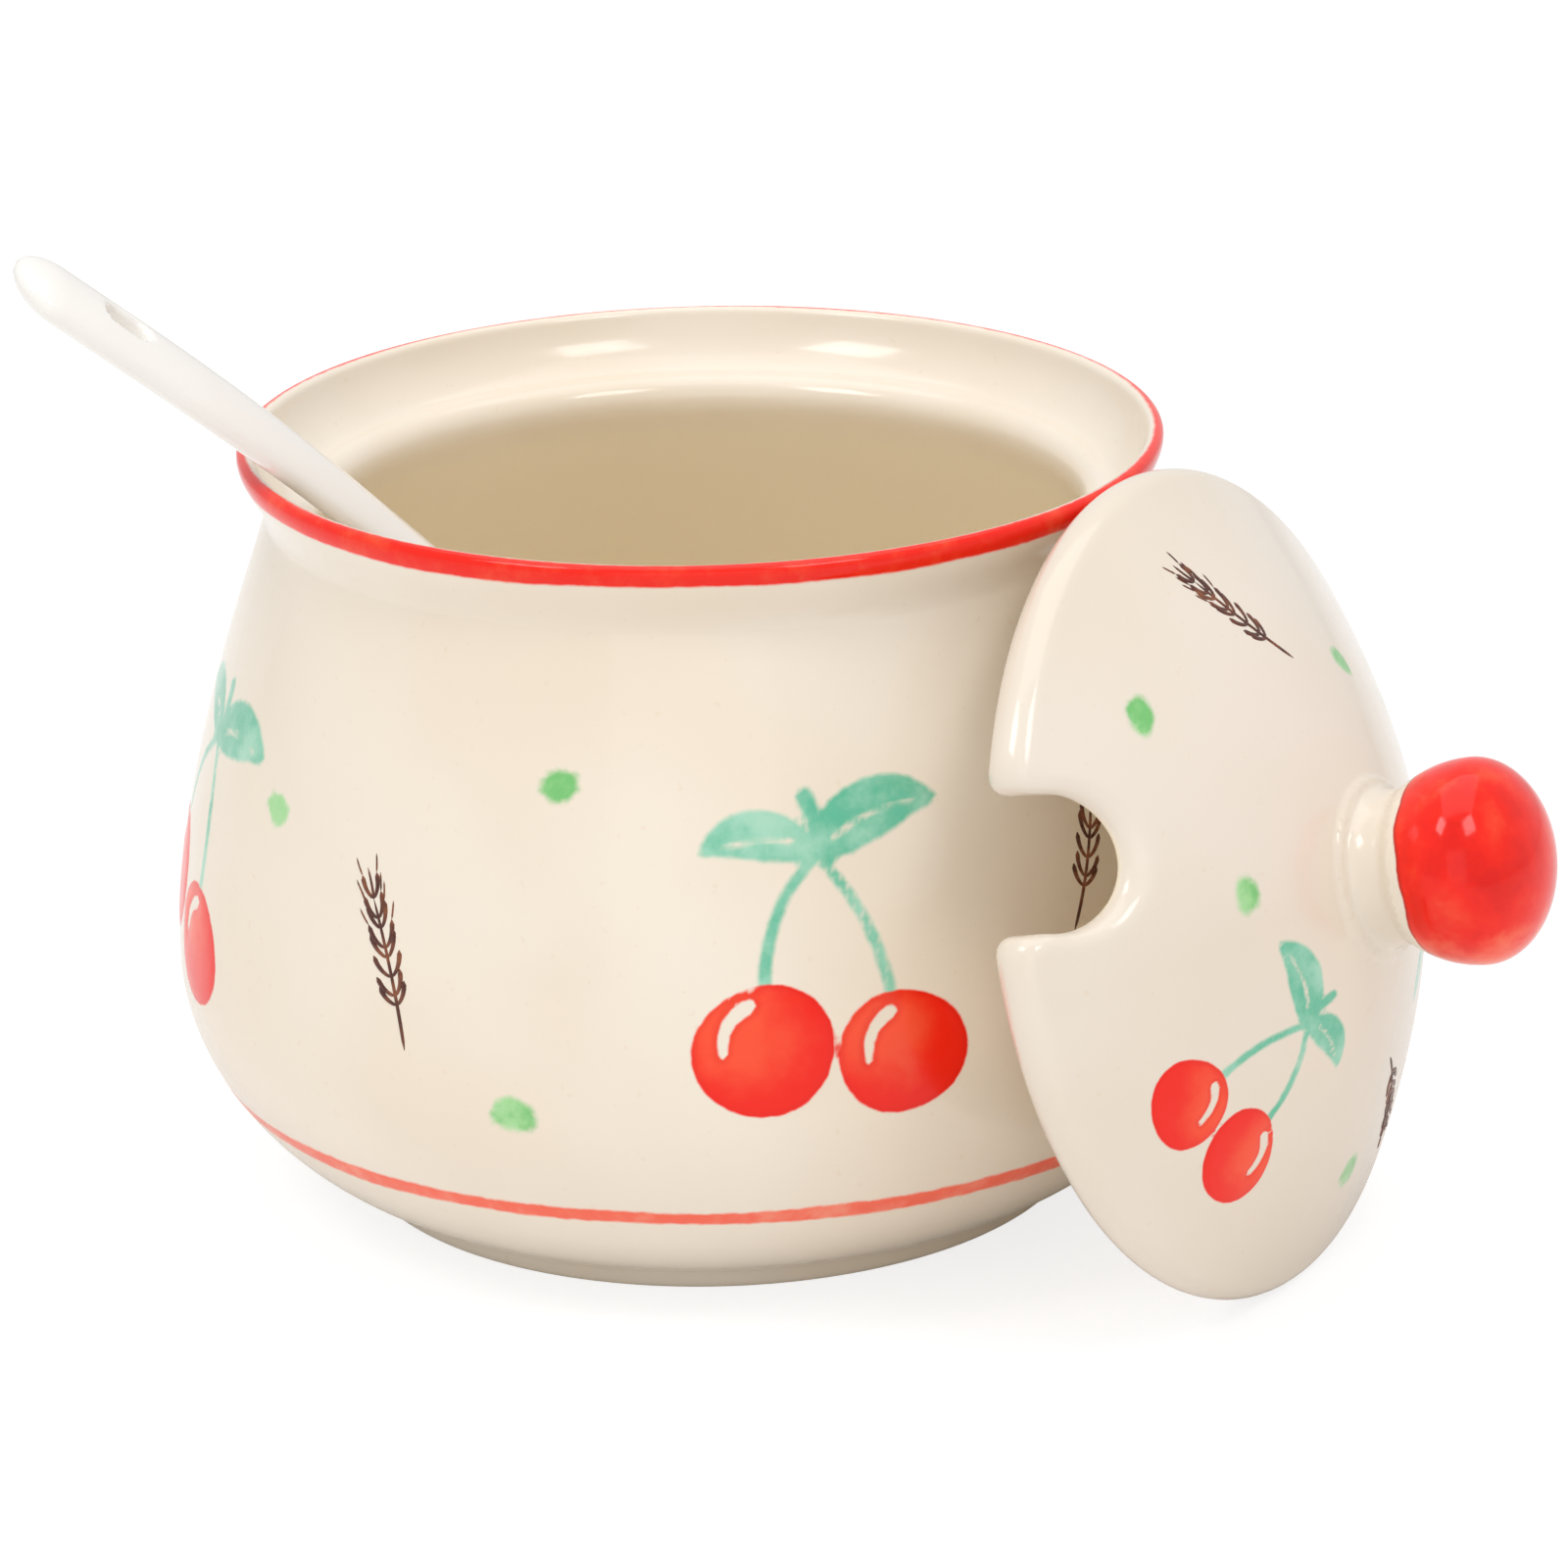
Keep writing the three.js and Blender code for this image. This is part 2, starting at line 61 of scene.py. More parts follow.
FOOT_R, FOOT_H, FOOT_W, FOOT_RECESS, FOOT_EDGE = 37.7, 2.4, 4.0, 1.6, 0.6
FLOOR_T = 3.9
HANDLE_L, HANDLE_W, HANDLE_T, HANDLE_END = 100.7, 11.0, 4.2, 5.0
NECK_W, NECK_T, BEND, BEND_FROM, BEND_TO = 8.5, 3.7, 5.65, 10.0, 55.0
BOWL_L, BOWL_W, BOWL_D, BOWL_WALL, BOWL_PITCH = 46.0, 29.0, 9.5, 2.6, 6.2
HOLE_L, HOLE_W, HOLE_AT = 5.2, 3.4, 12.6
LID_AZ, LID_LEAN, LID_SPIN = -29.4, 13.3, -111.0
SPOON_AZ, SPOON_LEAN, SPOON_ROLL = 16.9, 39.3, 13.4
SEAT_GAP, LID_CLEAR = 0.3, 0.6


def srgb(r, g, b):
    out = []
    for v in (r, g, b):
        v /= 255.0
        out.append(v / 12.92 if v <= 0.04045 else ((v + 0.055) / 1.055) ** 2.4)
    return (*out, 1.0)


def ease(t):
    t = np.clip(t, 0, 1)
    return t * t * (3 - 2 * t)


def smoothstep(x, a, b):
    return ease((x - a) / (b - a))


def smooth_edge(distance, width):
    """1 inside a shape and 0 outside, eased over its edge."""
    return ease(0.5 - distance / (2 * width))


def unit_rows(vectors):
    return vectors / np.maximum(np.linalg.norm(vectors, axis=1, keepdims=True), TINY)


def heading(azimuth, elevation):
    flat = math.cos(elevation)
    return np.array([flat * math.cos(azimuth), flat * math.sin(azimuth), math.sin(elevation)])


def wavy(base, turn, *terms):
    """A value that wanders round an axis, as a brushed edge does: terms of (size, waves, phase)."""
    for size, waves, phase in terms:
        base = base + size * np.sin(waves * turn + phase)
    return base


# Where the pieces stand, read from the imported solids
def node_points(name):
    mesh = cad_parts[name].data
    co = np.zeros(len(mesh.vertices) * 3, np.float32)
    mesh.vertices.foreach_get("co", co)
    return co.reshape(-1, 3).astype(float) / MM


low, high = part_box("jar_body")
AXIS = np.array([(low.x + high.x) / 2, (low.y + high.y) / 2, 0.0]) / MM

az, lean = math.radians(LID_AZ), math.radians(LID_LEAN)
LID_Z = heading(az, lean)
LID_SIDE = np.array([-math.sin(az), math.cos(az), 0.0])
LID_UP = np.cross(LID_Z, LID_SIDE)
spin = math.radians(LID_SPIN)
LID_X = math.sin(spin) * LID_SIDE - math.cos(spin) * LID_UP
LID_Y = np.cross(LID_Z, LID_X)
knob_middle = node_points("lid_knob").mean(0)
LID_O = knob_middle + LID_Z * ((node_points("lid_dome") @ LID_Z).min() - knob_middle @ LID_Z)
LID_FRAME = np.column_stack([LID_X, LID_Y, LID_Z])

saz, slean, sroll = math.radians(SPOON_AZ), math.radians(SPOON_LEAN), math.radians(SPOON_ROLL)
SPOON_X = heading(saz, -slean)
level = np.array([-math.sin(saz), math.cos(saz), 0.0])
SPOON_Y = math.cos(sroll) * level + math.sin(sroll) * np.cross(SPOON_X, level)
SPOON_Z = np.cross(SPOON_X, SPOON_Y)
spoon_points = node_points("spoon")
end_order = np.argsort(spoon_points @ SPOON_X)[:16]
SPOON_O = spoon_points[end_order].mean(0)
SPOON_FRAME = np.column_stack([SPOON_X, SPOON_Y, SPOON_Z])


# Curves of (radius, height) points
def curve2(a, b, c, n=12):
    t = np.linspace(0, 1, n + 1)[:, None]
    a, b, c = (np.array(p, float) for p in (a, b, c))
    return (1 - t) ** 2 * a + 2 * t * (1 - t) * b + t * t * c


def bezier(points, step):
    points = [np.array(p, float) for p in points]
    span = sum(np.linalg.norm(b - a) for a, b in zip(points, points[1:]))
    n = max(int(span / step), 2)
    if len(points) == 3:
        return curve2(*points, n)
    t = np.linspace(0, 1, n + 1)[:, None]
    a, b, c, d = points
    return (1 - t) ** 3 * a + 3 * t * (1 - t) ** 2 * b + 3 * t * t * (1 - t) * c + t ** 3 * d


def arc(x, y, r, start, stop, step):
    n = max(int(abs(stop - start) * r / step), 3)
    t = np.linspace(start, stop, n + 1)
    return np.column_stack([x + r * np.cos(t), y + r * np.sin(t)])


def line(a, b, step):
    n = max(int(math.dist(a, b) / step), 1)
    t = np.linspace(0, 1, n + 1)[:, None]
    return np.array(a, float) * (1 - t) + np.array(b, float) * t


def chain(*runs):
    points = [runs[0]]
    for run in runs[1:]:
        first = 1 if np.linalg.norm(run[0] - points[-1][-1]) < 1e-4 else 0
        points.append(run[first:])
    return np.vstack(points)


# Jar profile: outside, lip, seat and hollow
SEAT_R = LID_R + LID_CLEAR
THROAT_R = LID_R - LEDGE_W
NECK_R = SEAT_R + NECK_WALL
LIP_R = NECK_R + LIP_FLARE
BEAD = LIP_T / 2
LIP_X, LIP_Z = LIP_R - BEAD, JAR_H - LIP_DROP - BEAD
LEDGE_H, NECK_H, FLOOR_H = JAR_H - LEDGE_DROP, JAR_H - NECK_DROP, FOOT_RECESS + FLOOR_T
INNER_R = BELLY_R - JAR_WALL
rise, climb, swell = BELLY_H - FOOT_H, NECK_H - BELLY_H, BELLY_R - FOOT_R
STEP, CORE_R = 0.72, 0.6
base = chain(
    line((CORE_R, FOOT_RECESS), (FOOT_R - FOOT_W - FOOT_EDGE, FOOT_RECESS), 2.0),
    line((FOOT_R - FOOT_W - FOOT_EDGE, FOOT_RECESS), (FOOT_R - FOOT_W, 0), 0.6),
    line((FOOT_R - FOOT_W, 0), (FOOT_R - FOOT_EDGE, 0), 1.0),
)
outside = chain(
    arc(FOOT_R - FOOT_EDGE, FOOT_EDGE, FOOT_EDGE, -math.pi / 2, 0, 0.2),
    line((FOOT_R, FOOT_EDGE), (FOOT_R, FOOT_H), 0.5),
    bezier([(FOOT_R, FOOT_H), (FOOT_R + 0.42 * swell, FOOT_H + 0.06 * rise),
            (BELLY_R, BELLY_H - 0.5 * rise), (BELLY_R, BELLY_H)], STEP),
    bezier([(BELLY_R, BELLY_H), (BELLY_R, BELLY_H + 0.42 * climb),
            (NECK_R, NECK_H - 0.034 * climb), (NECK_R, NECK_H)], STEP),
    bezier([(NECK_R, NECK_H), (NECK_R, NECK_H + 0.32 * (LIP_Z - NECK_H)),
            (LIP_R, LIP_Z - 0.32 * (LIP_Z - NECK_H)), (LIP_R, LIP_Z)], 0.4),
    arc(LIP_X, LIP_Z, BEAD, 0, math.pi, 0.22),
)
under = LEDGE_H - LEDGE_EDGE - LEDGE_T / 4
floor_edge = FOOT_R - FOOT_W
inside = chain(
    bezier([(LIP_X - BEAD, LIP_Z), (LIP_X - BEAD - 0.5, LIP_Z - 0.5 * (LIP_Z - LEDGE_H)),
            (SEAT_R + 0.9, LEDGE_H + 0.4), (SEAT_R - 0.3, LEDGE_H)], 0.5),
    line((SEAT_R - 0.3, LEDGE_H), (THROAT_R + LEDGE_EDGE, LEDGE_H), 0.4),
    arc(THROAT_R + LEDGE_EDGE, LEDGE_H - LEDGE_EDGE, LEDGE_EDGE, math.pi / 2, math.pi, 0.3),
    line((THROAT_R, LEDGE_H - LEDGE_EDGE), (THROAT_R, under), 0.5),
    bezier([(THROAT_R, under), (THROAT_R + 0.16 * (INNER_R - THROAT_R), under - 2 * LEDGE_T),
            (INNER_R, BELLY_H + 0.46 * (under - BELLY_H)), (INNER_R, BELLY_H)], 2.0),
    bezier([(INNER_R, BELLY_H), (INNER_R, BELLY_H - 0.55 * (BELLY_H - FLOOR_H)),
            (floor_edge + 0.55 * (INNER_R - floor_edge), FLOOR_H), (floor_edge, FLOOR_H)], 1.6),
    line((floor_edge, FLOOR_H), (CORE_R, FLOOR_H), 4.0),
)


def soften(points, keep, rounds):
    """Round the corners between the runs of a profile, as a glaze does, and keep the ends."""
    points = points.copy()
    for _ in range(rounds):
        middle = (points[:-2] + points[2:]) / 2
        near = np.linalg.norm(points[2:] - points[:-2], axis=1) < keep
        points[1:-1][near] = 0.5 * points[1:-1][near] + 0.5 * middle[near]
    return points


def new_mesh(name, points, faces, values=None):
    mesh = bpy.data.meshes.new(name)
    mesh.from_pydata((points * MM).tolist(), [], faces)
    mesh.validate()
    for key, data in (values or {}).items():
        attribute = mesh.attributes.new(key, "FLOAT", "POINT")
        attribute.data.foreach_set("value", np.ascontiguousarray(data, np.float32))
    mesh.polygons.foreach_set("use_smooth", np.ones(len(mesh.polygons), bool))
    mesh.update()
    piece = bpy.data.objects.new(name, mesh)
    bpy.context.scene.collection.objects.link(piece)
    return piece


def revolve(profile, segments):
    """Points and faces of a turned body, closed by a fan at each end of its profile."""
    turn = np.linspace(0, 2 * math.pi, segments, endpoint=False)
    rows = len(profile)
    points = np.stack([profile[:, 0:1] * np.cos(turn), profile[:, 0:1] * np.sin(turn),
                       np.repeat(profile[:, 1:2], segments, 1)], -1).reshape(-1, 3)
    row, col = np.meshgrid(np.arange(rows - 1), np.arange(segments), indexing="ij")
    here, beside = row * segments + col, row * segments + (col + 1) % segments
    faces = np.stack([here, beside, beside + segments, here + segments], -1).reshape(-1, 4).tolist()
    first, last = len(points), len(points) + 1
    points = np.vstack([points, [0, 0, profile[0, 1]], [0, 0, profile[-1, 1]]])
    for c in range(segments):
        d = (c + 1) % segments
        faces.append([d, c, first])
        faces.append([(rows - 1) * segments + c, (rows - 1) * segments + d, last])
    return points, faces, np.tile(turn, rows), np.repeat(np.arange(rows), segments)


# Signed distances of painted shapes, in millimetres, negative inside
def disc(x, y, cx, cy, r, squash, wobble, phase):
    dx, dy = x - cx, (y - cy) / squash
    turn = np.arctan2(dy, dx)
    uneven = 1 + wobble * np.sin(2 * turn + phase) + 0.6 * wobble * np.sin(3 * turn - 2 * phase)
    return np.hypot(dx, dy) - r * uneven


def along_path(x, y, path, half_width):
    """A bent line whose half width is a function of the place along it, counted in its pieces."""
    least = np.full(np.shape(x), 1e3)
    for i, (a, b) in enumerate(zip(path, path[1:])):
        d = b - a
        t = np.clip(((x - a[0]) * d[0] + (y - a[1]) * d[1]) / (d @ d), 0, 1)
        off = np.hypot(x - a[0] - t * d[0], y - a[1] - t * d[1])
        least = np.minimum(least, off - half_width(i + t))
    return least


def stroke(x, y, path, r0, r1):
    pieces = len(path) - 1
    return along_path(x, y, path, lambda at: r0 + (r1 - r0) * at / pieces)


def leaf(x, y, a, b, c, width):
    """A leaf along a bent middle line, full in the middle and pointed at the tip."""
    pieces = 16
    return along_path(
        x, y, curve2(a, b, c, pieces),
        lambda at: width / 2 * np.sin(np.pi * np.clip(at / pieces, 0, 1) ** 0.8) ** 0.85 + 0.12)


def cherries(x, y, paint):
    """A pair of cherries on forked stems with two leaves, about 30 mm tall."""
    one = disc(x, y, -6.6, -6.4, 6.9, 0.97, 0.03, 0.6)
    two = disc(x, y, 7.0, -9.2, 6.5, 0.98, 0.035, 2.1)
    shine_one = stroke(x, y, curve2((-10.6, -6.0), (-10.4, -2.6), (-7.4, -1.7)), 0.45, 0.75)
    shine_two = stroke(x, y, curve2((3.4, -9.2), (3.5, -5.9), (6.2, -4.9)), 0.4, 0.7)
    red = np.minimum(np.maximum(one, -shine_one), np.maximum(two, -shine_two))
    paint["red"] = np.minimum(paint["red"], red)
    lit = np.where(one < two, np.hypot(x + 9.0, y + 3.6) / 10.5, np.hypot(x - 4.6, y + 6.6) / 10.0)
    paint["tone"] = np.where(red < 2, lit, paint["tone"])
    fork = (1.6, 11.6)
    stems = np.minimum(
        stroke(x, y, curve2((-5.6, -0.6), (-4.6, 7.5), fork), 0.62, 0.5),
        stroke(x, y, curve2((6.6, -3.6), (6.4, 4.5), fork), 0.6, 0.5))
    leaves = np.minimum(leaf(x, y, fork, (7.5, 17.0), (14.6, 14.2), 5.8),
                        leaf(x, y, fork, (-4.2, 16.6), (-9.6, 13.4), 4.6))
    vein = np.minimum(stroke(x, y, curve2((3.6, 13.0), (7.8, 15.2), (12.0, 14.5)), 0.28, 0.12),
                      stroke(x, y, curve2((-0.6, 13.3), (-4.0, 14.6), (-7.4, 13.7)), 0.26, 0.12))
    tip = stroke(x, y, curve2(fork, (2.4, 14.5), (1.4, 17.4)), 0.5, 0.85)
    paint["teal"] = np.minimum(paint["teal"], np.minimum(np.minimum(stems, tip), np.maximum(leaves, -vein)))


def turned_local(x, y, degrees):
    c, s = math.cos(math.radians(degrees)), math.sin(math.radians(degrees))
    return c * x + s * y, -s * x + c * y


MOTIF_REACH, DOT_REACH, DOT_WOBBLE = 26.0, 8.0, 0.07
RED_RELIEF, TEAL_RELIEF, LINE_RELIEF = 0.10, 0.05, 0.05
RED_INSET, TEAL_INSET, MOTIF_EDGE, LINE_EDGE = 0.4, 0.2, 0.7, 0.6


def blank(count):
    paint = {key: np.full(count, FAR) for key in ("red", "teal", "green")}
    return {**paint, "tone": np.full(count, PLAIN_TONE)}


def add_cherries(paint, near, x, y):
    part = {key: value[near] for key, value in paint.items()}
    cherries(x[near], y[near], part)
    for key in paint:
        paint[key][near] = part[key]


def add_dot(paint, near, x, y, r, squash, phase):
    dot = disc(x[near], y[near], 0, 0, r, squash, DOT_WOBBLE, phase)
    paint["green"][near] = np.minimum(paint["green"][near], dot)


def motif_relief(paint):
    """How far the painted motifs stand up from the glaze, in millimetres."""
    return (RED_RELIEF * smooth_edge(paint["red"] + RED_INSET, MOTIF_EDGE)
            + TEAL_RELIEF * smooth_edge(paint["teal"] + TEAL_INSET, MOTIF_EDGE))


# Jar
JAR_SEGMENTS = 512
outside = soften(outside, 1.4, 3)
inside = soften(inside, 1.4, 2)
jar_profile = chain(base, outside, inside)
points, faces, theta, rows = revolve(jar_profile, JAR_SEGMENTS)
count = JAR_SEGMENTS * len(jar_profile)
steps = np.r_[0, np.cumsum(np.linalg.norm(np.diff(jar_profile, axis=0), axis=1))]
first_out, last_out = len(base) - 1, len(base) - 1 + len(outside) - 1
arc_at = steps[rows]
radius_at, height_at = jar_profile[rows, 0], jar_profile[rows, 1]
on_outside = (rows >= first_out) & (rows <= last_out)
row_height = jar_profile[first_out:last_out + 1, 1]


def arc_of_height(z):
    crest = int(np.argmax(row_height))
    return float(np.interp(z, row_height[:crest + 1], steps[first_out:first_out + crest + 1]))


# Places as (azimuth, height, tilt) and (azimuth, height, radius)
JAR_CHERRIES = [(-79, 39, 6), (11, 40, -8), (101, 38, 8), (-169, 40, -6)]
JAR_DOTS = [
    (-107, 57, 1.9), (-111, 25, 2.2), (-146, 49, 1.9), (-51, 61, 1.7), (-47, 24, 2.0), (-18, 30, 2.0),
    (-14, 58, 1.8), (38, 58, 2.0), (42, 26, 1.8), (74, 49, 1.9), (128, 57, 1.8), (133, 25, 2.1),
    (163, 62, 1.7),
]
BAND_H, BAND_HALF, LIP_PAINT_H, LIP_PAINT_OVER = 13.65, 0.84, 76.3, 0.10
BARE_ROWS = 3


def from_spot(place, z):
    """Distances on the jar from a spot at an azimuth and a height: round the jar, and up its outside."""
    away = (theta - math.radians(place) + math.pi) % (2 * math.pi) - math.pi
    return radius_at * away, arc_at - arc_of_height(z)


paint = blank(count)
for place, z, tilt in JAR_CHERRIES:
    x, y = turned_local(*from_spot(place, z), tilt)
    add_cherries(paint, on_outside & (np.hypot(x, y) < MOTIF_REACH), x, y)
for i, (place, z, r) in enumerate(JAR_DOTS):
    x, y = from_spot(place, z)
    add_dot(paint, on_outside & (np.hypot(x, y) < DOT_REACH), x, y, r, 0.82, 1.7 * i)

wave = wavy(0.0, theta, (0.10, 3, 0.7), (0.07, 7, 2.0), (0.05, 17, 0.0))
width = wavy(BAND_HALF, theta, (0.08, 5, 1.0), (0.05, 13, 0.4))
band = np.where(on_outside, np.abs(height_at - BAND_H - wave) - width, FAR)
lip_low = wavy(arc_of_height(LIP_PAINT_H), theta, (-0.20, 3, 2.8), (0.10, 7, 1.0), (0.04, 23, 0.0))
lip_crest = arc_of_height(LIP_Z + BEAD - 0.001)
lip_high = wavy(lip_crest + LIP_PAINT_OVER, theta, (0.05, 5, 2.0), (0.04, 11, 0.0))
lip = np.where(on_outside, np.maximum(lip_low - arc_at, arc_at - lip_high), FAR)
foot = np.where(rows < first_out + BARE_ROWS, -1.0, FAR)
# Painted bounce light: below the ledge the inside is painted a lighter, warmer cream, for light bouncing
# round the hollow
depth = np.where(rows > last_out, np.clip((LEDGE_H - height_at) / (LEDGE_H - FLOOR_H), 0, 1), 0.0)

raised = motif_relief(paint)
raised += LINE_RELIEF * smooth_edge(band, LINE_EDGE) + LINE_RELIEF * smooth_edge(lip, LINE_EDGE)
points[:count, 0] += raised * np.cos(theta)
points[:count, 1] += raised * np.sin(theta)
# The last two points are the middles of the fans, under the foot and on the floor
distances = {**paint, "band": band, "lip": lip, "foot": foot}
values = {key: np.r_[value, FAR, FAR] for key, value in distances.items()}
values["tone"] = np.r_[paint["tone"], PLAIN_TONE, PLAIN_TONE]
values["depth"] = np.r_[depth, 0.0, 1.0]
jar = new_mesh("jar_glazed", points + AXIS, faces, values)


# Lid, in its own frame: z = 0 is the plane of the rim's underside, and the notch lies along +X
CHUNK = 4000


def nearest(points, path):
    """Signed distance to a closed path of (radius, height) points, with its gradient."""
    a, b = path, np.roll(path, -1, 0)
    d = b - a
    dd = np.maximum((d * d).sum(1), 1e-12)
    out = np.empty(len(points))
    grad = np.empty((len(points), 2))
    for i in range(0, len(points), CHUNK):
        p = points[i:i + CHUNK]
        rel = p[:, None, :] - a
        t = np.clip((rel * d).sum(-1) / dd, 0, 1)
        off = rel - t[..., None] * d
        dist = np.sqrt((off * off).sum(-1))
        best = dist.argmin(1)
        pick = np.arange(len(p))
        least = dist[pick, best]
        py = p[:, 1:2]
        crosses = (a[:, 1] > py) != (b[:, 1] > py)
        with np.errstate(divide="ignore", invalid="ignore"):
            at = a[:, 0] + (py - a[:, 1]) / (b[:, 1] - a[:, 1]) * d[:, 0]
        inside_path = (crosses & (p[:, 0:1] < at)).sum(1) % 2 == 1
        sign = np.where(inside_path, -1.0, 1.0)
        out[i:i + CHUNK] = sign * least
        normal = np.column_stack([d[best, 1], -d[best, 0]]) / np.sqrt(dd[best])[:, None]
        far = least > 1e-3
        direct = unit_rows(off[pick, best] * sign[:, None])
        grad[i:i + CHUNK] = np.where(far[:, None], direct, normal)
    return out, grad


rim_middle = LID_R - RIM_R
rim_top = np.array([rim_middle + RIM_R * math.sqrt(0.5), RIM_R * (1 + math.sqrt(0.5))])
dome_top = np.array([STEM_BASE_R, DOME_H])
dome_mid = (rim_top + dome_top) / 2 + [0, DOME_SWELL]
run = (dome_top - rim_top) / np.linalg.norm(dome_top - rim_top)
inward = np.array([-run[1], run[0]]) * LID_WALL
hollow = bezier([dome_top + inward, dome_mid + inward, rim_top + inward], 0.4)
hollow = hollow[hollow[:, 0] < rim_middle - RIM_FLAT - LID_WALL / 2]
stem_foot = DOME_H + STEM_RING
stem_top = stem_foot + STEM_H
knob_flat = KNOB_UNDER * math.sqrt(1 - (KNOB_FLAT_R / KNOB_R) ** 2)
knob_mid = stem_top + SEAT_GAP + knob_flat
skin_h = np.linspace(stem_top + 0.1, stem_top + 2.0, 14)
skin_r = KNOB_R * np.sqrt(1 - np.minimum((knob_mid - skin_h) / KNOB_UNDER, 1) ** 2) + 0.05
ball_skin = np.column_stack([np.maximum(skin_r, STEM_R), skin_h])
ball_skin = np.vstack([ball_skin, [ball_skin[-1, 0] - 0.9, skin_h[-1] + 0.5]])
lid_profile = chain(
    line((-0.001, dome_top[1] + inward[1]), hollow[0], 1.0),
    hollow,
    bezier([hollow[-1], (rim_middle - RIM_FLAT - 0.5, 0.9), (rim_middle - RIM_FLAT + 0.4, 0)], 0.2),
    arc(rim_middle, RIM_R, RIM_R, -math.pi / 2, math.pi / 4, 0.12),
    bezier([rim_top, dome_mid, dome_top], 0.3)[:-2],
    arc(STEM_BASE_R - 0.12, DOME_H + 0.12, 0.34, -0.4, 2.2, 0.08),
    bezier([(STEM_BASE_R - 0.45, stem_foot - 0.05), (STEM_R + 0.15, stem_foot + 0.15),
            (STEM_R, stem_foot + 1.6)], 0.15),
    line((STEM_R, stem_foot + 1.6), (STEM_R, stem_top - 0.6), 0.3),
    ball_skin,
    line(ball_skin[-1], (-0.001, ball_skin[-1][1]), 1.0),
)
table_lo, table_step = np.array([0.0, -2.0]), 0.2
table_shape = (int(45 / table_step), int(34 / table_step))
tr, tz = np.meshgrid(np.arange(table_shape[0]), np.arange(table_shape[1]), indexing="ij")
table_points = np.stack([tr, tz], -1).reshape(-1, 2) * table_step + table_lo
lid_table = nearest(table_points, lid_profile)[0].reshape(table_shape)


def from_table(r, z):
    u = np.clip((r - table_lo[0]) / table_step, 0, table_shape[0] - 1.001)
    v = np.clip((z - table_lo[1]) / table_step, 0, table_shape[1] - 1.001)
    i, j = u.astype(int), v.astype(int)
    fu, fv = u - i, v - j
    t = lid_table
    return ((t[i, j] * (1 - fu) + t[i + 1, j] * fu) * (1 - fv)
            + (t[i, j + 1] * (1 - fu) + t[i + 1, j + 1] * fu) * fv)


# The notch, with rounder corners than the solid's
NOTCH_END = LID_R - NOTCH_DEPTH + NOTCH_HALF
NOTCH_ROUND, NOTCH_CORNER, CORNER_OFFSET = 1.6, 5.0, 1.6


def round_both(a, b, r):
    """The distance of what lies in both of two bodies, with their meeting edge rounded."""
    ua, ub = np.maximum(a + r, 0), np.maximum(b + r, 0)
    return np.minimum(-r, np.maximum(a, b)) + np.hypot(ua, ub)


def notch(x, y):
    """Plan distance of the lid with its notch and rounded corners: negative in the material."""
    slot = NOTCH_HALF - np.hypot(np.minimum(x - NOTCH_END, 0), y)
    return round_both(np.hypot(x, y) - LID_R - CORNER_OFFSET, slot, NOTCH_CORNER)


def lid_grid(x, y, z):
    return round_both(from_table(np.hypot(x, y), z), notch(x, y), NOTCH_ROUND)


def lid_exact(p):
    r = np.hypot(p[:, 0], p[:, 1])
    body, g2 = nearest(np.column_stack([r, p[:, 2]]), lid_profile)
    safe = np.maximum(r, TINY)
    g_body = np.column_stack([g2[:, 0] * p[:, 0] / safe, g2[:, 0] * p[:, 1] / safe, g2[:, 1]])
    x, y, e = p[:, 0], p[:, 1], 0.01
    cut = notch(x, y)
    g_cut = np.column_stack([notch(x + e, y) - notch(x - e, y), notch(x, y + e) - notch(x, y - e), 0 * x])
    g_cut /= 2 * e
    ua, ub = np.maximum(body + NOTCH_ROUND, 0), np.maximum(cut + NOTCH_ROUND, 0)
    both = np.maximum(np.hypot(ua, ub), TINY)
    g = (ua[:, None] * g_body + ub[:, None] * g_cut) / both[:, None]
    return round_both(body, cut, NOTCH_ROUND), g


def surface_nets(field, lo, step):
    """A closed mesh of quads on the zero surface of a field of samples."""
    inside_at = field < 0
    n = np.array(field.shape)
    total = np.zeros(n - 1, np.int8)
    for o in itertools.product((0, 1), repeat=3):
        total += inside_at[tuple(slice(o[k], n[k] - 1 + o[k]) for k in range(3))]
    mixed = (total > 0) & (total < 8)
    index = np.full(n - 1, -1, np.int64)
    cells = np.argwhere(mixed)
    index[mixed] = np.arange(len(cells))
    summed, hits = np.zeros((len(cells), 3)), np.zeros(len(cells))
    quads = []
    for axis in range(3):
        others = [k for k in range(3) if k != axis]
        unit = np.eye(3, dtype=int)
        one, two = unit[others[0]], unit[others[1]]
        for o in itertools.product((0, 1), repeat=2):
            start = cells + o[0] * one + o[1] * two
            fa, fb = field[tuple(start.T)], field[tuple((start + unit[axis]).T)]
            cross = (fa < 0) != (fb < 0)
            at = start[cross].astype(float)
            at[:, axis] += fa[cross] / (fa[cross] - fb[cross])
            summed[cross] += at
            hits[cross] += 1
        here = tuple(slice(0, n[k] - 1) if k == axis else slice(1, n[k] - 1) for k in range(3))
        ahead = tuple(slice(1, n[k]) if k == axis else slice(1, n[k] - 1) for k in range(3))
        grid = np.argwhere(inside_at[here] != inside_at[ahead])
        grid[:, others] += 1
        ring = [grid - one - two, grid - two, grid, grid - one]
        quad = np.stack([index[tuple(c.T)] for c in ring], 1)
        flip = inside_at[tuple(grid.T)]
        if axis == 1:
            flip = ~flip
        quad[~flip] = quad[~flip][:, ::-1]
        quads.append(quad)
    return lo + step * summed / hits[:, None], np.vstack(quads)


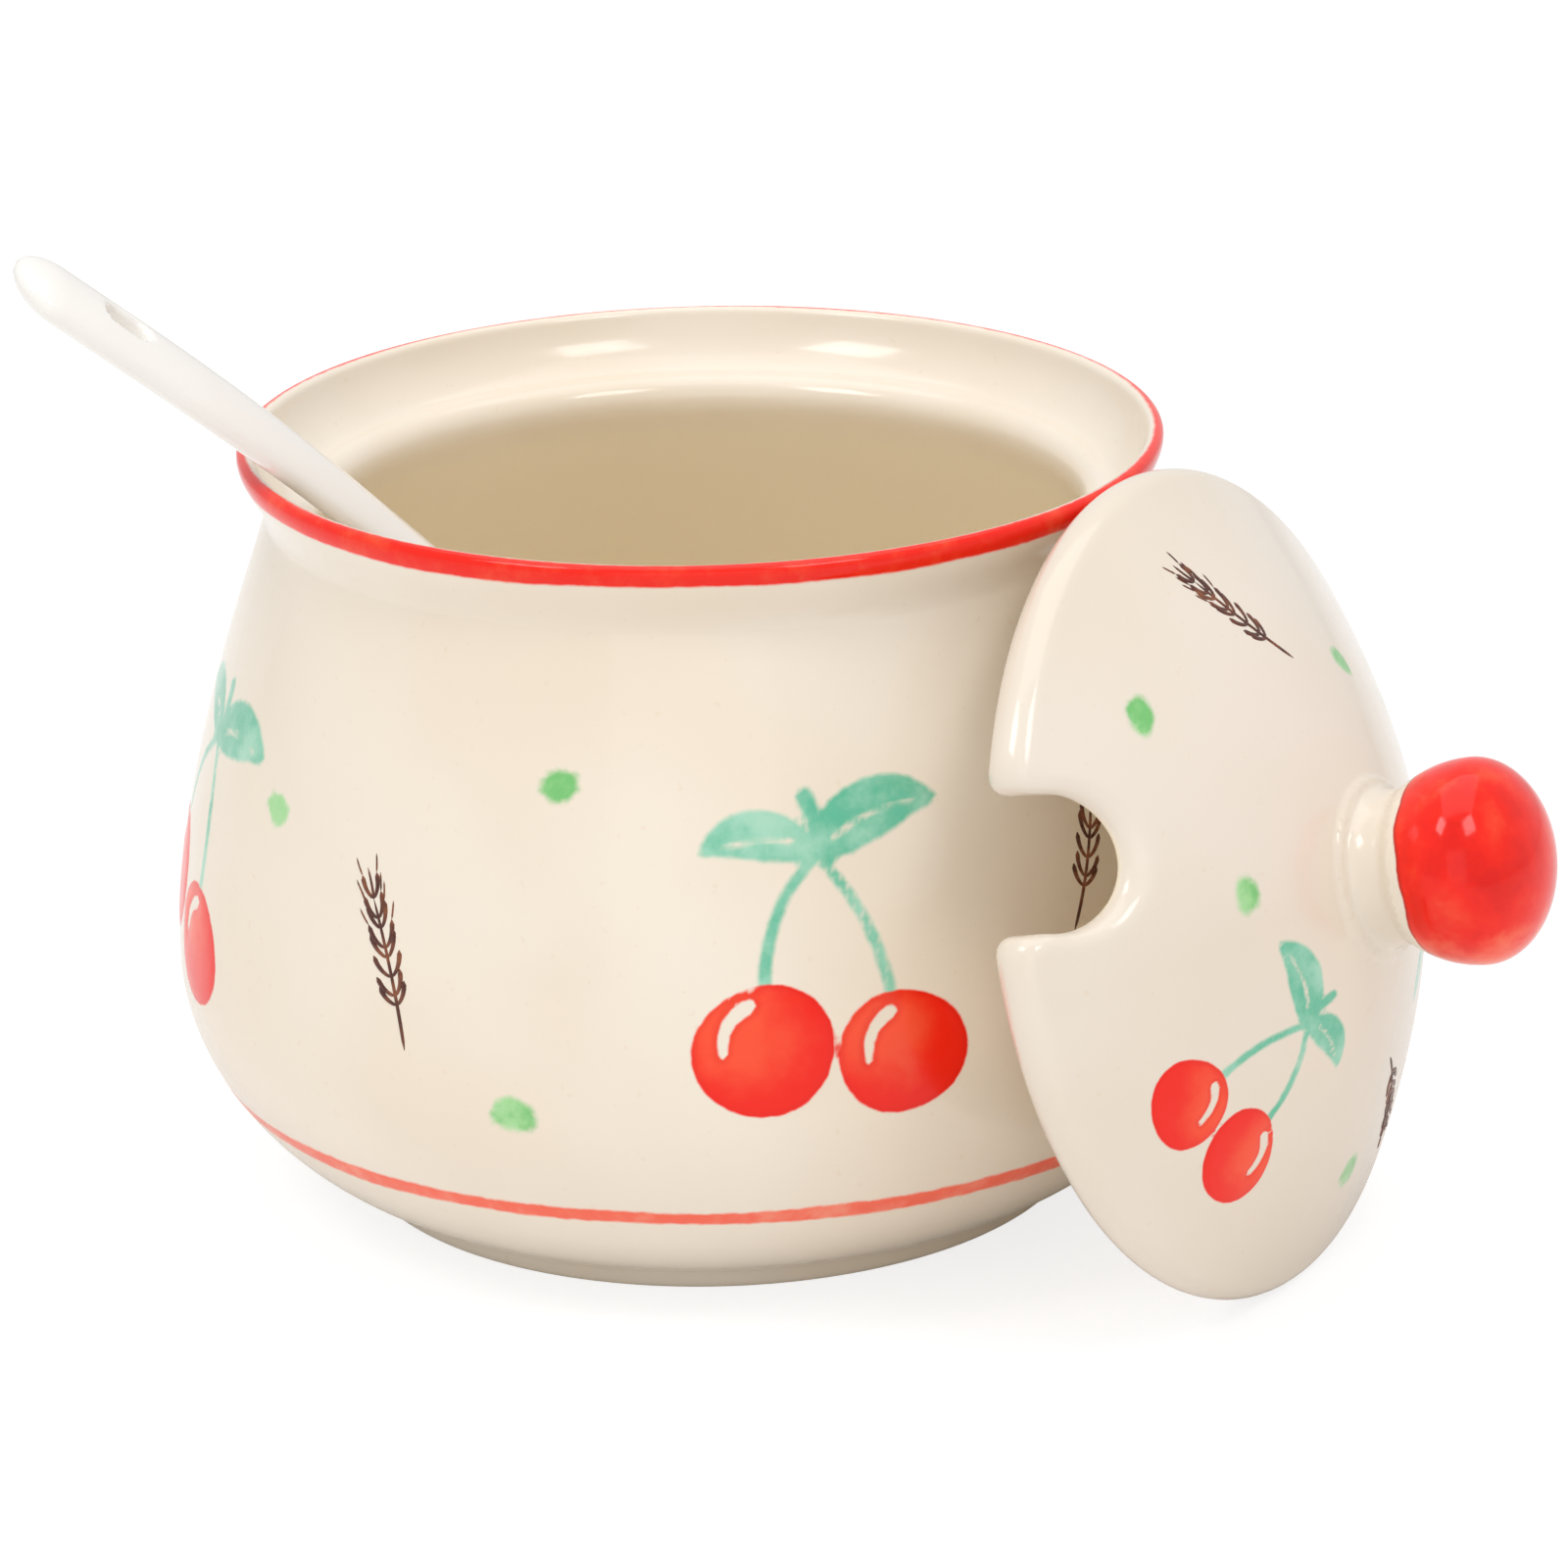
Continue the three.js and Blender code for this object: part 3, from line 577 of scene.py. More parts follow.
def sampled(function, lo, hi, step):
    axes = [np.arange(lo[k], hi[k] + step, step) for k in range(3)]
    field = np.empty([len(a) for a in axes], np.float32)
    yy, zz = np.meshgrid(axes[1], axes[2], indexing="ij")
    for i, x in enumerate(axes[0]):
        field[i] = function(np.full(yy.shape, x), yy, zz)
    return field


LID_STEP = 0.55
lid_lo, lid_hi = np.array([-42.3, -42.3, -1.2]), np.array([42.3, 42.3, 29.6])
net, quads = surface_nets(sampled(lid_grid, lid_lo, lid_hi, LID_STEP), lid_lo, LID_STEP)
for _ in range(3):
    f, g = lid_exact(net)
    net -= f[:, None] * g / np.maximum((g * g).sum(1), 0.25)[:, None]
lid_r = np.hypot(net[:, 0], net[:, 1])

# Places as (azimuth, radius, tilt) and (azimuth, radius, size)
LID_MOTIFS = [(58, 25.5, 8), (178, 25.5, -8)]
LID_DOTS = [(-27, 31, 1.9), (9, 19.5, 1.7), (-104, 22, 1.7), (112, 31, 1.9), (-140, 28, 1.8)]
LID_MOTIF_SCALE, LID_MOTIF_REACH, DOME_SKIN = 0.72, 22.0, 1.2
PAINTED_BOUNCE_RATE, PAINTED_BOUNCE_FULL, RIM_RATE, RIM_BARE = 0.24, 0.12, 40.0, 0.08
dome_curve = bezier([rim_top, dome_mid, dome_top], 0.3)[::-1]


def dome_height(r):
    return np.interp(r, dome_curve[:, 0], dome_curve[:, 1])


def dome_place(degrees, r):
    """A point of the dome, with the directions round the dome and up it."""
    h = float(dome_height(r))
    slope = (float(dome_height(r + 0.5)) - h) / 0.5
    a = math.radians(degrees)
    out = np.array([math.cos(a), math.sin(a), 0.0])
    across = np.array([-math.sin(a), math.cos(a), 0.0])
    up = np.array([-out[0], -out[1], -slope]) / math.hypot(1, slope)
    return np.array([r * out[0], r * out[1], h]), across, up


on_dome = net[:, 2] > dome_height(lid_r) - DOME_SKIN
lid_paint = blank(len(net))
for place, r, tilt in LID_MOTIFS:
    centre, across, up = dome_place(place, r)
    x, y = turned_local((net - centre) @ -across, (net - centre) @ up, tilt)
    x, y = x / LID_MOTIF_SCALE, y / LID_MOTIF_SCALE
    close = ((net - centre) ** 2).sum(1) < LID_MOTIF_REACH ** 2
    add_cherries(lid_paint, on_dome & (np.hypot(x, y) < MOTIF_REACH) & close, x, y)
for i, (place, r, size) in enumerate(LID_DOTS):
    centre, across, up = dome_place(place, r)
    x, y = (net - centre) @ across, (net - centre) @ up
    close = ((net - centre) ** 2).sum(1) < DOT_REACH ** 2
    add_dot(lid_paint, on_dome & close, x, y, size, 0.85, 1.3 * i)
g = unit_rows(lid_exact(net)[1])
net += g * motif_relief(lid_paint)[:, None]
lid_values = dict(lid_paint)
# Painted bounce light: where the dome's underside faces down, it takes the lighter, warmer cream
shade = np.clip(-PAINTED_BOUNCE_RATE * g[:, 2], 0.0, PAINTED_BOUNCE_FULL)
lid_values["depth"] = np.where(on_dome | (lid_r > rim_middle), 0.0, shade)
lid_values["rim"] = RIM_RATE * (net[:, 2] - RIM_BARE)
lid = new_mesh("lid_glazed", net @ LID_FRAME.T + LID_O, quads.tolist(), lid_values)

# Knob: a ball with a flattened top, painted down to an uneven edge over the stem
KNOB_EDGE, KNOB_SEGMENTS = 4.75, 128
t = np.linspace(-math.asin(knob_flat / KNOB_UNDER), math.pi / 2 - 0.03, 72)
ball = np.column_stack([KNOB_R * np.cos(t), knob_mid + np.where(t < 0, KNOB_UNDER, KNOB_TOP) * np.sin(t)])
knob_profile = chain(line((1.0, knob_mid - knob_flat), ball[0], 0.8), ball)
ball_points, ball_faces, ball_turn, ball_rows = revolve(knob_profile, KNOB_SEGMENTS)
uneven = wavy(0.0, ball_turn, (0.30, 2, 1.0), (0.18, 5, 0.0), (0.10, 11, 2.0))
edge = knob_mid - KNOB_EDGE + uneven - knob_profile[ball_rows, 1]
ball_points[:len(edge), 0] *= 1 + 0.004 * np.sin(2 * ball_turn + 0.5)
ball_points = ball_points @ LID_FRAME.T + LID_O
ball_middle = LID_FRAME @ np.array([0.0, 0.0, knob_mid]) + LID_O
# Painted reflection: the ball's downward side, which faces the floor, is painted a paler red
floor_reflection = (ball_middle[2] - ball_points[:, 2]) / KNOB_R
knob = new_mesh("knob_glazed", ball_points, ball_faces, {"edge": np.r_[edge, 5.0, -5.0], "floor_reflection": floor_reflection})

# Spoon, in its own frame: the handle's end at the origin, +X to the bowl's tip, +Z the bowl's open side
HANDLE_OVER, SPOON_EDGE, BOWL_BLEND, HOLE_ROUND = 4.0, 0.9, 3.0, 0.8
neck_slope = math.radians(BEND)


def handle_line(x):
    stretch = BEND_TO - BEND_FROM
    along = np.clip((x - BEND_FROM) / stretch, 0, 1)
    return -math.tan(neck_slope) * (stretch * (along ** 3 - along ** 4 / 2) + np.maximum(x - BEND_TO, 0))


bowl_tilt = neck_slope - math.radians(BOWL_PITCH)
bowl_c, bowl_s = math.cos(bowl_tilt), math.sin(bowl_tilt)
BOWL_Z = float(handle_line(np.array(HANDLE_L)))


def egg(x, y, z, a, b, c):
    q = np.sqrt((x / a) ** 2 + (y / b) ** 2 + (z / c) ** 2)
    g = np.sqrt((x / a ** 2) ** 2 + (y / b ** 2) ** 2 + (z / c ** 2) ** 2)
    return q * (q - 1) / np.maximum(g, 1e-6)


def blend_min(a, b, k):
    h = np.clip(0.5 + 0.5 * (b - a) / k, 0, 1)
    return b + (a - b) * h - k * h * (1 - h)


def spoon_field(x, y, z):
    reach = np.clip(x, 0.0, HANDLE_L + HANDLE_OVER)
    along = smoothstep(reach, 0.15 * HANDLE_L, 0.6 * HANDLE_L)
    half_w = (HANDLE_W + (NECK_W - HANDLE_W) * along) / 2
    half_t = (HANDLE_T + (NECK_T - HANDLE_T) * along) / 2
    dz = z - handle_line(reach)
    over_end = np.minimum(x - HANDLE_END, 0) * (HANDLE_W / 2) / HANDLE_END
    qy = np.hypot(y, over_end)
    q = np.sqrt((qy / half_w) ** 2 + (dz / half_t) ** 2) + 1e-9
    g = np.sqrt((qy / half_w ** 2) ** 2 + (dz / half_t ** 2) ** 2) + 1e-9
    side, past = q * (q - 1) / g, x - HANDLE_L - HANDLE_OVER
    handle = np.hypot(np.maximum(side, 0), np.maximum(past, 0))
    handle = np.where(q < 1, np.maximum(side, past), handle)
    rx, rz = x - HANDLE_L, z - BOWL_Z
    bx = rx * bowl_c - rz * bowl_s - (BOWL_L / 2 - BOWL_WALL)
    bz = rx * bowl_s + rz * bowl_c - NECK_T / 2
    outer = egg(bx, y, bz, BOWL_L / 2, BOWL_W / 2, BOWL_D)
    hollow_of = egg(bx, y, bz - SEAT_GAP, BOWL_L / 2 - BOWL_WALL, BOWL_W / 2 - BOWL_WALL, BOWL_D - BOWL_WALL)
    bowl = round_both(outer, bz, SPOON_EDGE)
    body = blend_min(handle, bowl, BOWL_BLEND)
    body = round_both(body, -hollow_of, SPOON_EDGE)
    slot = np.hypot(np.maximum(np.abs(x - HOLE_AT) - (HOLE_L - HOLE_W) / 2, 0), y) - HOLE_W / 2
    return round_both(body, -slot, HOLE_ROUND)


SPOON_STEP, SPOON_PROBE, SPOON_MOVE = 0.6, 0.02, 0.4
spoon_lo, spoon_hi = np.array([-1.2, -15.8, -20.0]), np.array([146.0, 15.8, 4.2])


def spoon_slope(points):
    ways = [SPOON_PROBE * e for e in np.eye(3)]
    rises = [spoon_field(*(points + way).T) - spoon_field(*(points - way).T) for way in ways]
    return np.column_stack(rises) / (2 * SPOON_PROBE)


snet, squads = surface_nets(sampled(spoon_field, spoon_lo, spoon_hi, SPOON_STEP), spoon_lo, SPOON_STEP)
for _ in range(4):
    f, g = spoon_field(*snet.T), spoon_slope(snet)
    move = f[:, None] * g / np.maximum((g * g).sum(1), 0.2)[:, None]
    length = np.linalg.norm(move, axis=1, keepdims=True)
    snet -= move * np.minimum(1, SPOON_MOVE / np.maximum(length, TINY))
spoon = new_mesh("spoon_glazed", snet @ SPOON_FRAME.T + SPOON_O, squads.tolist())
spoon.data.normals_split_custom_set_from_vertices((unit_rows(g) @ SPOON_FRAME.T).tolist())


# Brown sprigs: fine raised strokes that follow the surface
def stroke_tube(path, normals, r0, r1, height):
    """A low bead along a path on a surface, wide and flat, closed at both ends."""
    sides = 8
    ahead = unit_rows(np.gradient(path, axis=0))
    across = unit_rows(np.cross(normals, ahead))
    n = len(path)
    share = np.linspace(0, 1, n)
    taper = np.sqrt(np.clip(1 - (2 * np.abs(share - 0.5)) ** 8, 0.04, 1))
    half = (r0 + (r1 - r0) * share) * taper
    turn = np.linspace(0, 2 * math.pi, sides, endpoint=False)
    rings = (path[:, None, :] + across[:, None, :] * (half[:, None] * np.cos(turn))[..., None]
             + normals[:, None, :] * (height * taper[:, None] * np.sin(turn))[..., None])
    verts = np.vstack([rings.reshape(-1, 3), path[0], path[-1]])
    quads = []
    for i in range(n - 1):
        for s in range(sides):
            a, b = i * sides + s, i * sides + (s + 1) % sides
            quads.append([a, b, b + sides, a + sides])
    for s in range(sides):
        quads.append([(s + 1) % sides, s, n * sides])
        quads.append([(n - 1) * sides + s, (n - 1) * sides + (s + 1) % sides, n * sides + 1])
    return verts, quads


def sprig_strokes(seed, size):
    """A wheat-like ear: a bent stem, pairs of grains up its sides, and fine whiskers."""
    rng = np.random.default_rng(seed)
    stem = curve2((-0.10, -1.0), (0.06, -0.2), (0.0, 0.75), 16)
    strokes = [(stem, 0.24, 0.17)]
    for k, at in enumerate(np.linspace(0.30, 1.0, 8)):
        foot_at = stem[int(round(at * 16))]
        long = 0.36 - 0.16 * abs(at - 0.62)
        for way in (-1, 1):
            lean_out = math.radians(38 - 14 * at + rng.uniform(-5, 5))
            tip = foot_at + long * np.array([way * math.sin(lean_out), math.cos(lean_out)])
            mid = foot_at + 0.5 * long * np.array([way * math.sin(lean_out + 0.5), math.cos(lean_out + 0.5)])
            strokes.append((curve2(foot_at, mid, tip, 8), 0.16, 0.34))
            if k > 3:
                far = tip + 0.22 * np.array([way * math.sin(lean_out - 0.15), math.cos(lean_out - 0.15)])
                strokes.append((curve2(tip, (tip + far) / 2 + [0.01 * way, 0], far, 5), 0.11, 0.08))
    strokes.append((curve2(stem[-1], stem[-1] + [0.02, 0.16], stem[-1] + [0.0, 0.36], 6), 0.2, 0.1))
    return [(np.array(s) * size, a, b) for s, a, b in strokes]


def gathered(name, strokes):
    verts, quads, offset = [], [], 0
    for v, q in strokes:
        verts.append(v)
        quads += [[i + offset for i in face] for face in q]
        offset += len(v)
    return new_mesh(name, np.vstack(verts), quads)


out_r, out_z, out_s = (jar_profile[first_out:last_out + 1, 0], row_height, steps[first_out:last_out + 1])


def on_jar(place, z, tilt, local):
    x, y = turned_local(*local.T, -tilt)
    at = arc_of_height(z) + y
    r, h = np.interp(at, out_s, out_r), np.interp(at, out_s, out_z)
    dr, dh = np.interp(at + 0.2, out_s, out_r) - r, np.interp(at + 0.2, out_s, out_z) - h
    a = math.radians(place) + x / r
    normal = unit_rows(np.column_stack([dh * np.cos(a), dh * np.sin(a), -dr]))
    return np.column_stack([r * np.cos(a), r * np.sin(a), h]) + AXIS, normal


def on_lid(place, r, tilt, local):
    centre, across, up = dome_place(place, r)
    x, y = turned_local(*local.T, -tilt)
    flat = centre - np.outer(x, across) + np.outer(y, up)
    radius = np.hypot(flat[:, 0], flat[:, 1])
    h = dome_height(radius)
    slope = (dome_height(radius + 0.3) - h) / 0.3
    normal = np.column_stack([-slope * flat[:, 0] / radius, -slope * flat[:, 1] / radius, np.ones(len(flat))])
    return np.column_stack([flat[:, :2], h]), unit_rows(normal)


# Places as (azimuth, height or radius, tilt, size)
JAR_SPRIGS = [(-126, 38, 22, 8.6), (-45, 46, -20, 8.6), (49, 41, 18, 8.6), (141, 43, -18, 8.6)]
LID_SPRIGS = [(-66, 27, 158, 7.5), (130, 27, 164, 7.5)]
SPRIG_RELIEF, JAR_SEED, LID_SEED = 0.09, 40, 70


def sprig_tubes(places, seed, surface):
    tubes = []
    for n, (place, at, tilt, size) in enumerate(places):
        for local, r0, r1 in sprig_strokes(seed + n, size):
            path, normal = surface(place, at, tilt, local)
            tubes.append(stroke_tube(path, normal, r0, r1, SPRIG_RELIEF))
    return tubes


jar_sprigs = gathered("jar_sprigs", sprig_tubes(JAR_SPRIGS, JAR_SEED, on_jar))
lid_tubes = sprig_tubes(LID_SPRIGS, LID_SEED, on_lid)
lid_sprigs = gathered("lid_sprigs", [(v @ LID_FRAME.T + LID_O, q) for v, q in lid_tubes])


# Materials
class Nodes:
    def __init__(self, name):
        self.material = bpy.data.materials.new(name)
        self.material.use_nodes = True
        self.tree = self.material.node_tree
        self.shader = self.tree.nodes["Principled BSDF"]

    def add(self, kind, **settings):
        node = self.tree.nodes.new(kind)
        for key, value in settings.items():
            setattr(node, key, value)
        return node

    def link(self, a, b):
        self.tree.links.new(a, b)

    def value(self, socket, source):
        if isinstance(source, (int, float)):
            socket.default_value = source
        else:
            self.link(source, socket)

    def math(self, kind, a, b):
        node = self.add("ShaderNodeMath", operation=kind)
        self.value(node.inputs[0], a)
        self.value(node.inputs[1], b)
        return node.outputs[0]

    def scaled(self, source, factor):
        return self.math("MULTIPLY", source, factor)

    def attribute(self, name):
        return self.add("ShaderNodeAttribute", attribute_name=name).outputs["Fac"]

    def noise(self, scale, detail, rough=0.5):
        node = self.add("ShaderNodeTexNoise")
        node.inputs["Scale"].default_value = scale
        node.inputs["Detail"].default_value = detail
        node.inputs["Roughness"].default_value = rough
        self.link(self.add("ShaderNodeTexCoord").outputs["Object"], node.inputs["Vector"])
        return node.outputs["Fac"]

    def wander(self):
        """Noise about zero, for the edges of paint."""
        return self.math("SUBTRACT", self.noise(EDGE_NOISE, 3.0), 0.5)

    def ramp(self, source, low, high, from_value=0.0, to_value=1.0):
        node = self.add("ShaderNodeMapRange", interpolation_type="SMOOTHSTEP")
        self.link(source, node.inputs["Value"])
        node.inputs["From Min"].default_value = low
        node.inputs["From Max"].default_value = high
        node.inputs["To Min"].default_value = from_value
        node.inputs["To Max"].default_value = to_value
        return node.outputs[0]

    def mix(self, share, a, b):
        node = self.add("ShaderNodeMix", data_type="RGBA")
        self.value(node.inputs["Factor"], share)
        for socket, source in ((node.inputs["A"], a), (node.inputs["B"], b)):
            if isinstance(source, tuple):
                socket.default_value = source
            else:
                self.link(source, socket)
        return node.outputs["Result"]

    def painted(self, name, soft, reach, edge_noise):
        """Share of paint from a signed distance, with an edge that wanders."""
        moved = self.math("ADD", self.attribute(name), self.scaled(edge_noise, reach))
        return self.ramp(moved, soft, -soft)

    def bump(self, height, distance, strength):
        node = self.add("ShaderNodeBump")
        node.inputs["Strength"].default_value = strength
        node.inputs["Distance"].default_value = distance
        self.link(height, node.inputs["Height"])
        return node.outputs["Normal"]


# The last of these creams is painted bounce light: lighter and warmer, for the hollow and undersides
CREAM, CREAM_WARM, CREAM_PAINTED_BOUNCE = srgb(241, 230, 214), srgb(237, 223, 203), srgb(254, 241, 214)
# The lid wears the jar's glaze painted a little darker, as painted shade for the stronger light its upturned
# face catches
LID_CREAM_SHADED, LID_WARM_SHADED = srgb(236, 225, 211), srgb(232, 219, 201)
RED, RED_LIGHT, RED_DEEP = srgb(245, 28, 4), srgb(251, 80, 46), srgb(226, 18, 3)
# A paler red, painted on the knob's underside as a painted reflection of the floor
RED_FLOOR_REFLECTION = srgb(254, 122, 92)
SALMON, SALMON_LIGHT = srgb(252, 106, 80), srgb(254, 148, 122)
TEAL, TEAL_LIGHT = srgb(76, 186, 150), srgb(138, 214, 186)
GREEN, GREEN_LIGHT = srgb(98, 192, 100), srgb(160, 220, 150)
BISQUE, BROWN, BROWN_LIGHT = srgb(214, 192, 160), srgb(78, 34, 20), srgb(134, 74, 42)
SPECK, RED_EDGE = srgb(226, 203, 170), srgb(172, 26, 14)
SPOON_WHITE, SPOON_WARM = srgb(246, 243, 238), srgb(243, 237, 231)
# Noise scales, in cells per metre
BROAD, BROAD_SPOON, BRUSH_KNOB, WASH, BRUSH = 28.0, 40.0, 130.0, 160.0, 260.0
FINE, WASH_SPRIG, EDGE_NOISE, SPECKS, FINE_SPRIG = 420.0, 500.0, 700.0, 900.0, 1500.0
GLAZE_IOR = 1.5


def glaze(name, pale, warm, extra):
    """Cream glaze with fine unevenness and painted bounce light in hollows and undersides, then whatever
    paint the piece carries.
    """
    n = Nodes(name)
    broad, fine, speck = n.noise(BROAD, 2.0), n.noise(FINE, 3.0), n.noise(SPECKS, 1.0)
    colour = n.mix(n.ramp(broad, 0.35, 0.7), pale, warm)
    colour = n.mix(n.scaled(n.ramp(speck, 0.70, 0.80), 0.22), colour, SPECK)
    # Painted bounce light in the jar's hollow and under the lid
    colour = n.mix(n.scaled(n.ramp(n.attribute("depth"), 0.0, PAINTED_BOUNCE_FULL), 0.9), colour, CREAM_PAINTED_BOUNCE)
    rough = n.ramp(fine, 0.3, 0.7, 0.13, 0.20)
    height = n.math("ADD", broad, n.scaled(fine, 0.05))
    colour, rough, red = extra(n, colour, rough, fine, n.wander())
    n.link(colour, n.shader.inputs["Base Color"])
    n.link(rough, n.shader.inputs["Roughness"])
    n.link(n.ramp(red, 0.0, 1.0, 0.5, 0.32), n.shader.inputs["Specular IOR Level"])
    n.link(n.ramp(red, 0.0, 1.0, 0.2, 0.05), n.shader.inputs["Coat Weight"])
    n.shader.inputs["IOR"].default_value = GLAZE_IOR
    n.shader.inputs["Coat Roughness"].default_value = 0.06
    n.link(n.bump(height, 0.0004, 0.25), n.shader.inputs["Normal"])
    return n.material


def motif_paint(n, colour, edge_noise):
    wash = n.noise(WASH, 4.0, 0.6)
    teal = n.painted("teal", 0.34, 0.5, edge_noise)
    teal_colour = n.mix(n.ramp(wash, 0.35, 0.68), TEAL, TEAL_LIGHT)
    colour = n.mix(n.math("MULTIPLY", teal, n.ramp(wash, 0.2, 0.8, 0.98, 0.78)), colour, teal_colour)
    green = n.painted("green", 0.55, 1.4, edge_noise)
    green_colour = n.mix(n.ramp(wash, 0.4, 0.62), GREEN, GREEN_LIGHT)
    colour = n.mix(n.scaled(green, 0.92), colour, green_colour)
    red = n.painted("red", 0.16, 0.35, edge_noise)
    tone = n.math("ADD", n.attribute("tone"), n.scaled(n.math("SUBTRACT", wash, 0.5), 0.9))
    red_colour = n.mix(n.ramp(tone, 0.15, 0.75), RED_LIGHT, RED)
    red_colour = n.mix(n.ramp(tone, 0.95, 1.35), red_colour, RED_DEEP)
    rim = n.ramp(n.attribute("red"), -0.9, -0.15)
    red_colour = n.mix(n.scaled(rim, 0.35), red_colour, RED_DEEP)
    return n.mix(red, colour, red_colour), red


def bare_clay(n, name, colour, rough, fine, rougher):
    """Unglazed clay where an attribute is at or below zero."""
    bare = n.ramp(n.attribute(name), 8.0, 0.0)
    colour = n.mix(bare, colour, n.mix(fine, BISQUE, CREAM_WARM))
    return colour, n.math("ADD", rough, n.scaled(bare, rougher))


def jar_paint(n, colour, rough, fine, edge_noise):
    colour, red = motif_paint(n, colour, edge_noise)
    brush = n.noise(BRUSH, 3.0, 0.6)
    band_share = n.painted("band", 0.24, 0.5, edge_noise)
    colour = n.mix(band_share, colour, n.mix(n.ramp(brush, 0.42, 0.85), SALMON, SALMON_LIGHT))
    lip_share = n.painted("lip", 0.22, 0.3, edge_noise)
    colour = n.mix(lip_share, colour, n.mix(n.ramp(brush, 0.45, 0.85), RED, RED_LIGHT))
    rough = n.math("SUBTRACT", rough, n.scaled(lip_share, 0.06))
    red = n.math("MAXIMUM", n.math("MAXIMUM", red, lip_share), band_share)
    return *bare_clay(n, "foot", colour, rough, fine, 0.6), red


def lid_paint_nodes(n, colour, rough, fine, edge_noise):
    colour, red = motif_paint(n, colour, edge_noise)
    return *bare_clay(n, "rim", colour, rough, fine, 0.55), red


def knob_material():
    n = Nodes("knob_red_glaze")
    brush, fine = n.noise(BRUSH_KNOB, 4.0, 0.6), n.noise(FINE, 3.0)
    colour = n.mix(n.ramp(brush, 0.30, 0.55), RED_DEEP, RED)
    colour = n.mix(n.scaled(n.ramp(brush, 0.50, 0.72), 0.8), colour, RED_LIGHT)
    # Painted reflection of the floor on the ball's underside, broken up by brush noise
    painted_reflection = n.math("ADD", n.attribute("floor_reflection"), n.scaled(n.math("SUBTRACT", brush, 0.5), 1.4))
    colour = n.mix(n.scaled(n.ramp(painted_reflection, 0.45, 1.0), 0.75), colour, RED_FLOOR_REFLECTION)
    colour = n.mix(n.scaled(n.ramp(n.attribute("edge"), -0.55, -0.1), 0.7), colour, RED_EDGE)
    colour = n.mix(n.painted("edge", 0.12, 0.4, n.wander()), CREAM, colour)
    n.link(colour, n.shader.inputs["Base Color"])
    n.link(n.ramp(fine, 0.3, 0.7, 0.10, 0.16), n.shader.inputs["Roughness"])
    n.shader.inputs["IOR"].default_value = GLAZE_IOR
    n.shader.inputs["Specular IOR Level"].default_value = 0.30
    n.shader.inputs["Coat Weight"].default_value = 0.10
    n.shader.inputs["Coat Roughness"].default_value = 0.05
    n.link(n.bump(brush, 0.0003, 0.2), n.shader.inputs["Normal"])
    return n.material


def spoon_material():
    n = Nodes("spoon_white_glaze")
    broad, fine = n.noise(BROAD_SPOON, 2.0), n.noise(FINE, 3.0)
    n.link(n.mix(n.ramp(broad, 0.35, 0.7), SPOON_WHITE, SPOON_WARM), n.shader.inputs["Base Color"])
    n.link(n.ramp(fine, 0.3, 0.7, 0.08, 0.15), n.shader.inputs["Roughness"])
    n.shader.inputs["IOR"].default_value = GLAZE_IOR
    n.shader.inputs["Coat Weight"].default_value = 0.25
    n.shader.inputs["Coat Roughness"].default_value = 0.05
    n.link(n.bump(broad, 0.0003, 0.2), n.shader.inputs["Normal"])
    return n.material


def sprig_material():
    n = Nodes("sprig_brown")
    wash, fine = n.noise(WASH_SPRIG, 3.0), n.noise(FINE_SPRIG, 2.0)
    n.link(n.mix(n.ramp(wash, 0.4, 0.68), BROWN, BROWN_LIGHT), n.shader.inputs["Base Color"])
    n.link(n.ramp(fine, 0.3, 0.7, 0.2, 0.34), n.shader.inputs["Roughness"])
    return n.material


brown = sprig_material()
for piece, material, body, node, slot in (
    (jar, glaze("jar_cream_glaze", CREAM, CREAM_WARM, jar_paint), "jar", "jar_body", "jar_glaze"),
    (lid, glaze("lid_cream_glaze", LID_CREAM_SHADED, LID_WARM_SHADED, lid_paint_nodes), "lid", "lid_dome", "lid_glaze"),
    (knob, knob_material(), "lid", "lid_knob", "knob_glaze"),
    (spoon, spoon_material(), "spoon_loose", "spoon", "spoon_glaze"),
):
    piece.data.materials.append(material)
    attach(piece, body)
    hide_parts(node)
for piece, body, slot in ((jar_sprigs, "jar", "jar_glaze"), (lid_sprigs, "lid", "lid_glaze")):
    piece.data.materials.append(brown)
    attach(piece, body)

# Camera at the photograph's angle: its place in millimetres, its turns in radians
scene = bpy.context.scene
CAMERA = np.array([0.0, -654.2, 271.7]) + AXIS
pan, tilt, roll = 0.0118, 0.3404, -0.0227
fwd = np.array([math.sin(pan) * math.cos(tilt), math.cos(pan) * math.cos(tilt), -math.sin(tilt)])
right0 = np.array([math.cos(pan), -math.sin(pan), 0.0])
up0 = np.cross(right0, fwd)
right = math.cos(roll) * right0 + math.sin(roll) * up0
up = -math.sin(roll) * right0 + math.cos(roll) * up0
camera_data = bpy.data.cameras.new("camera")
camera_data.lens, camera_data.sensor_width = 154.3, 36.0
camera_data.clip_start, camera_data.clip_end = 0.02, 20.0
camera = bpy.data.objects.new("camera", camera_data)
place = Matrix.Identity(4)
for column, vector in enumerate((right, up, -fwd)):
    for row in range(3):
        place[row][column] = vector[row]
for row in range(3):
    place[row][3] = CAMERA[row] * MM
camera.matrix_world = place
scene.collection.objects.link(camera)
scene.camera = camera

# A floor that is pale for the light and nearly white to the camera, a plain background, and soft lamps
FLOOR_SPAN, FLOOR_GREY, FLOOR_GLOW, FLOOR_SHADE = 6.0, 0.94, 0.78, 0.32
FILL_COLOUR, FILL_STRENGTH = (1.0, 0.99, 0.98, 1), 0.65


def new_node(tree, kind, **constants):
    made = tree.nodes.new(kind)
    for name, value in constants.items():
        made.inputs[name].default_value = value
    return made


def wire(tree, *links):
    for source, target in links:
        tree.links.new(source, target)


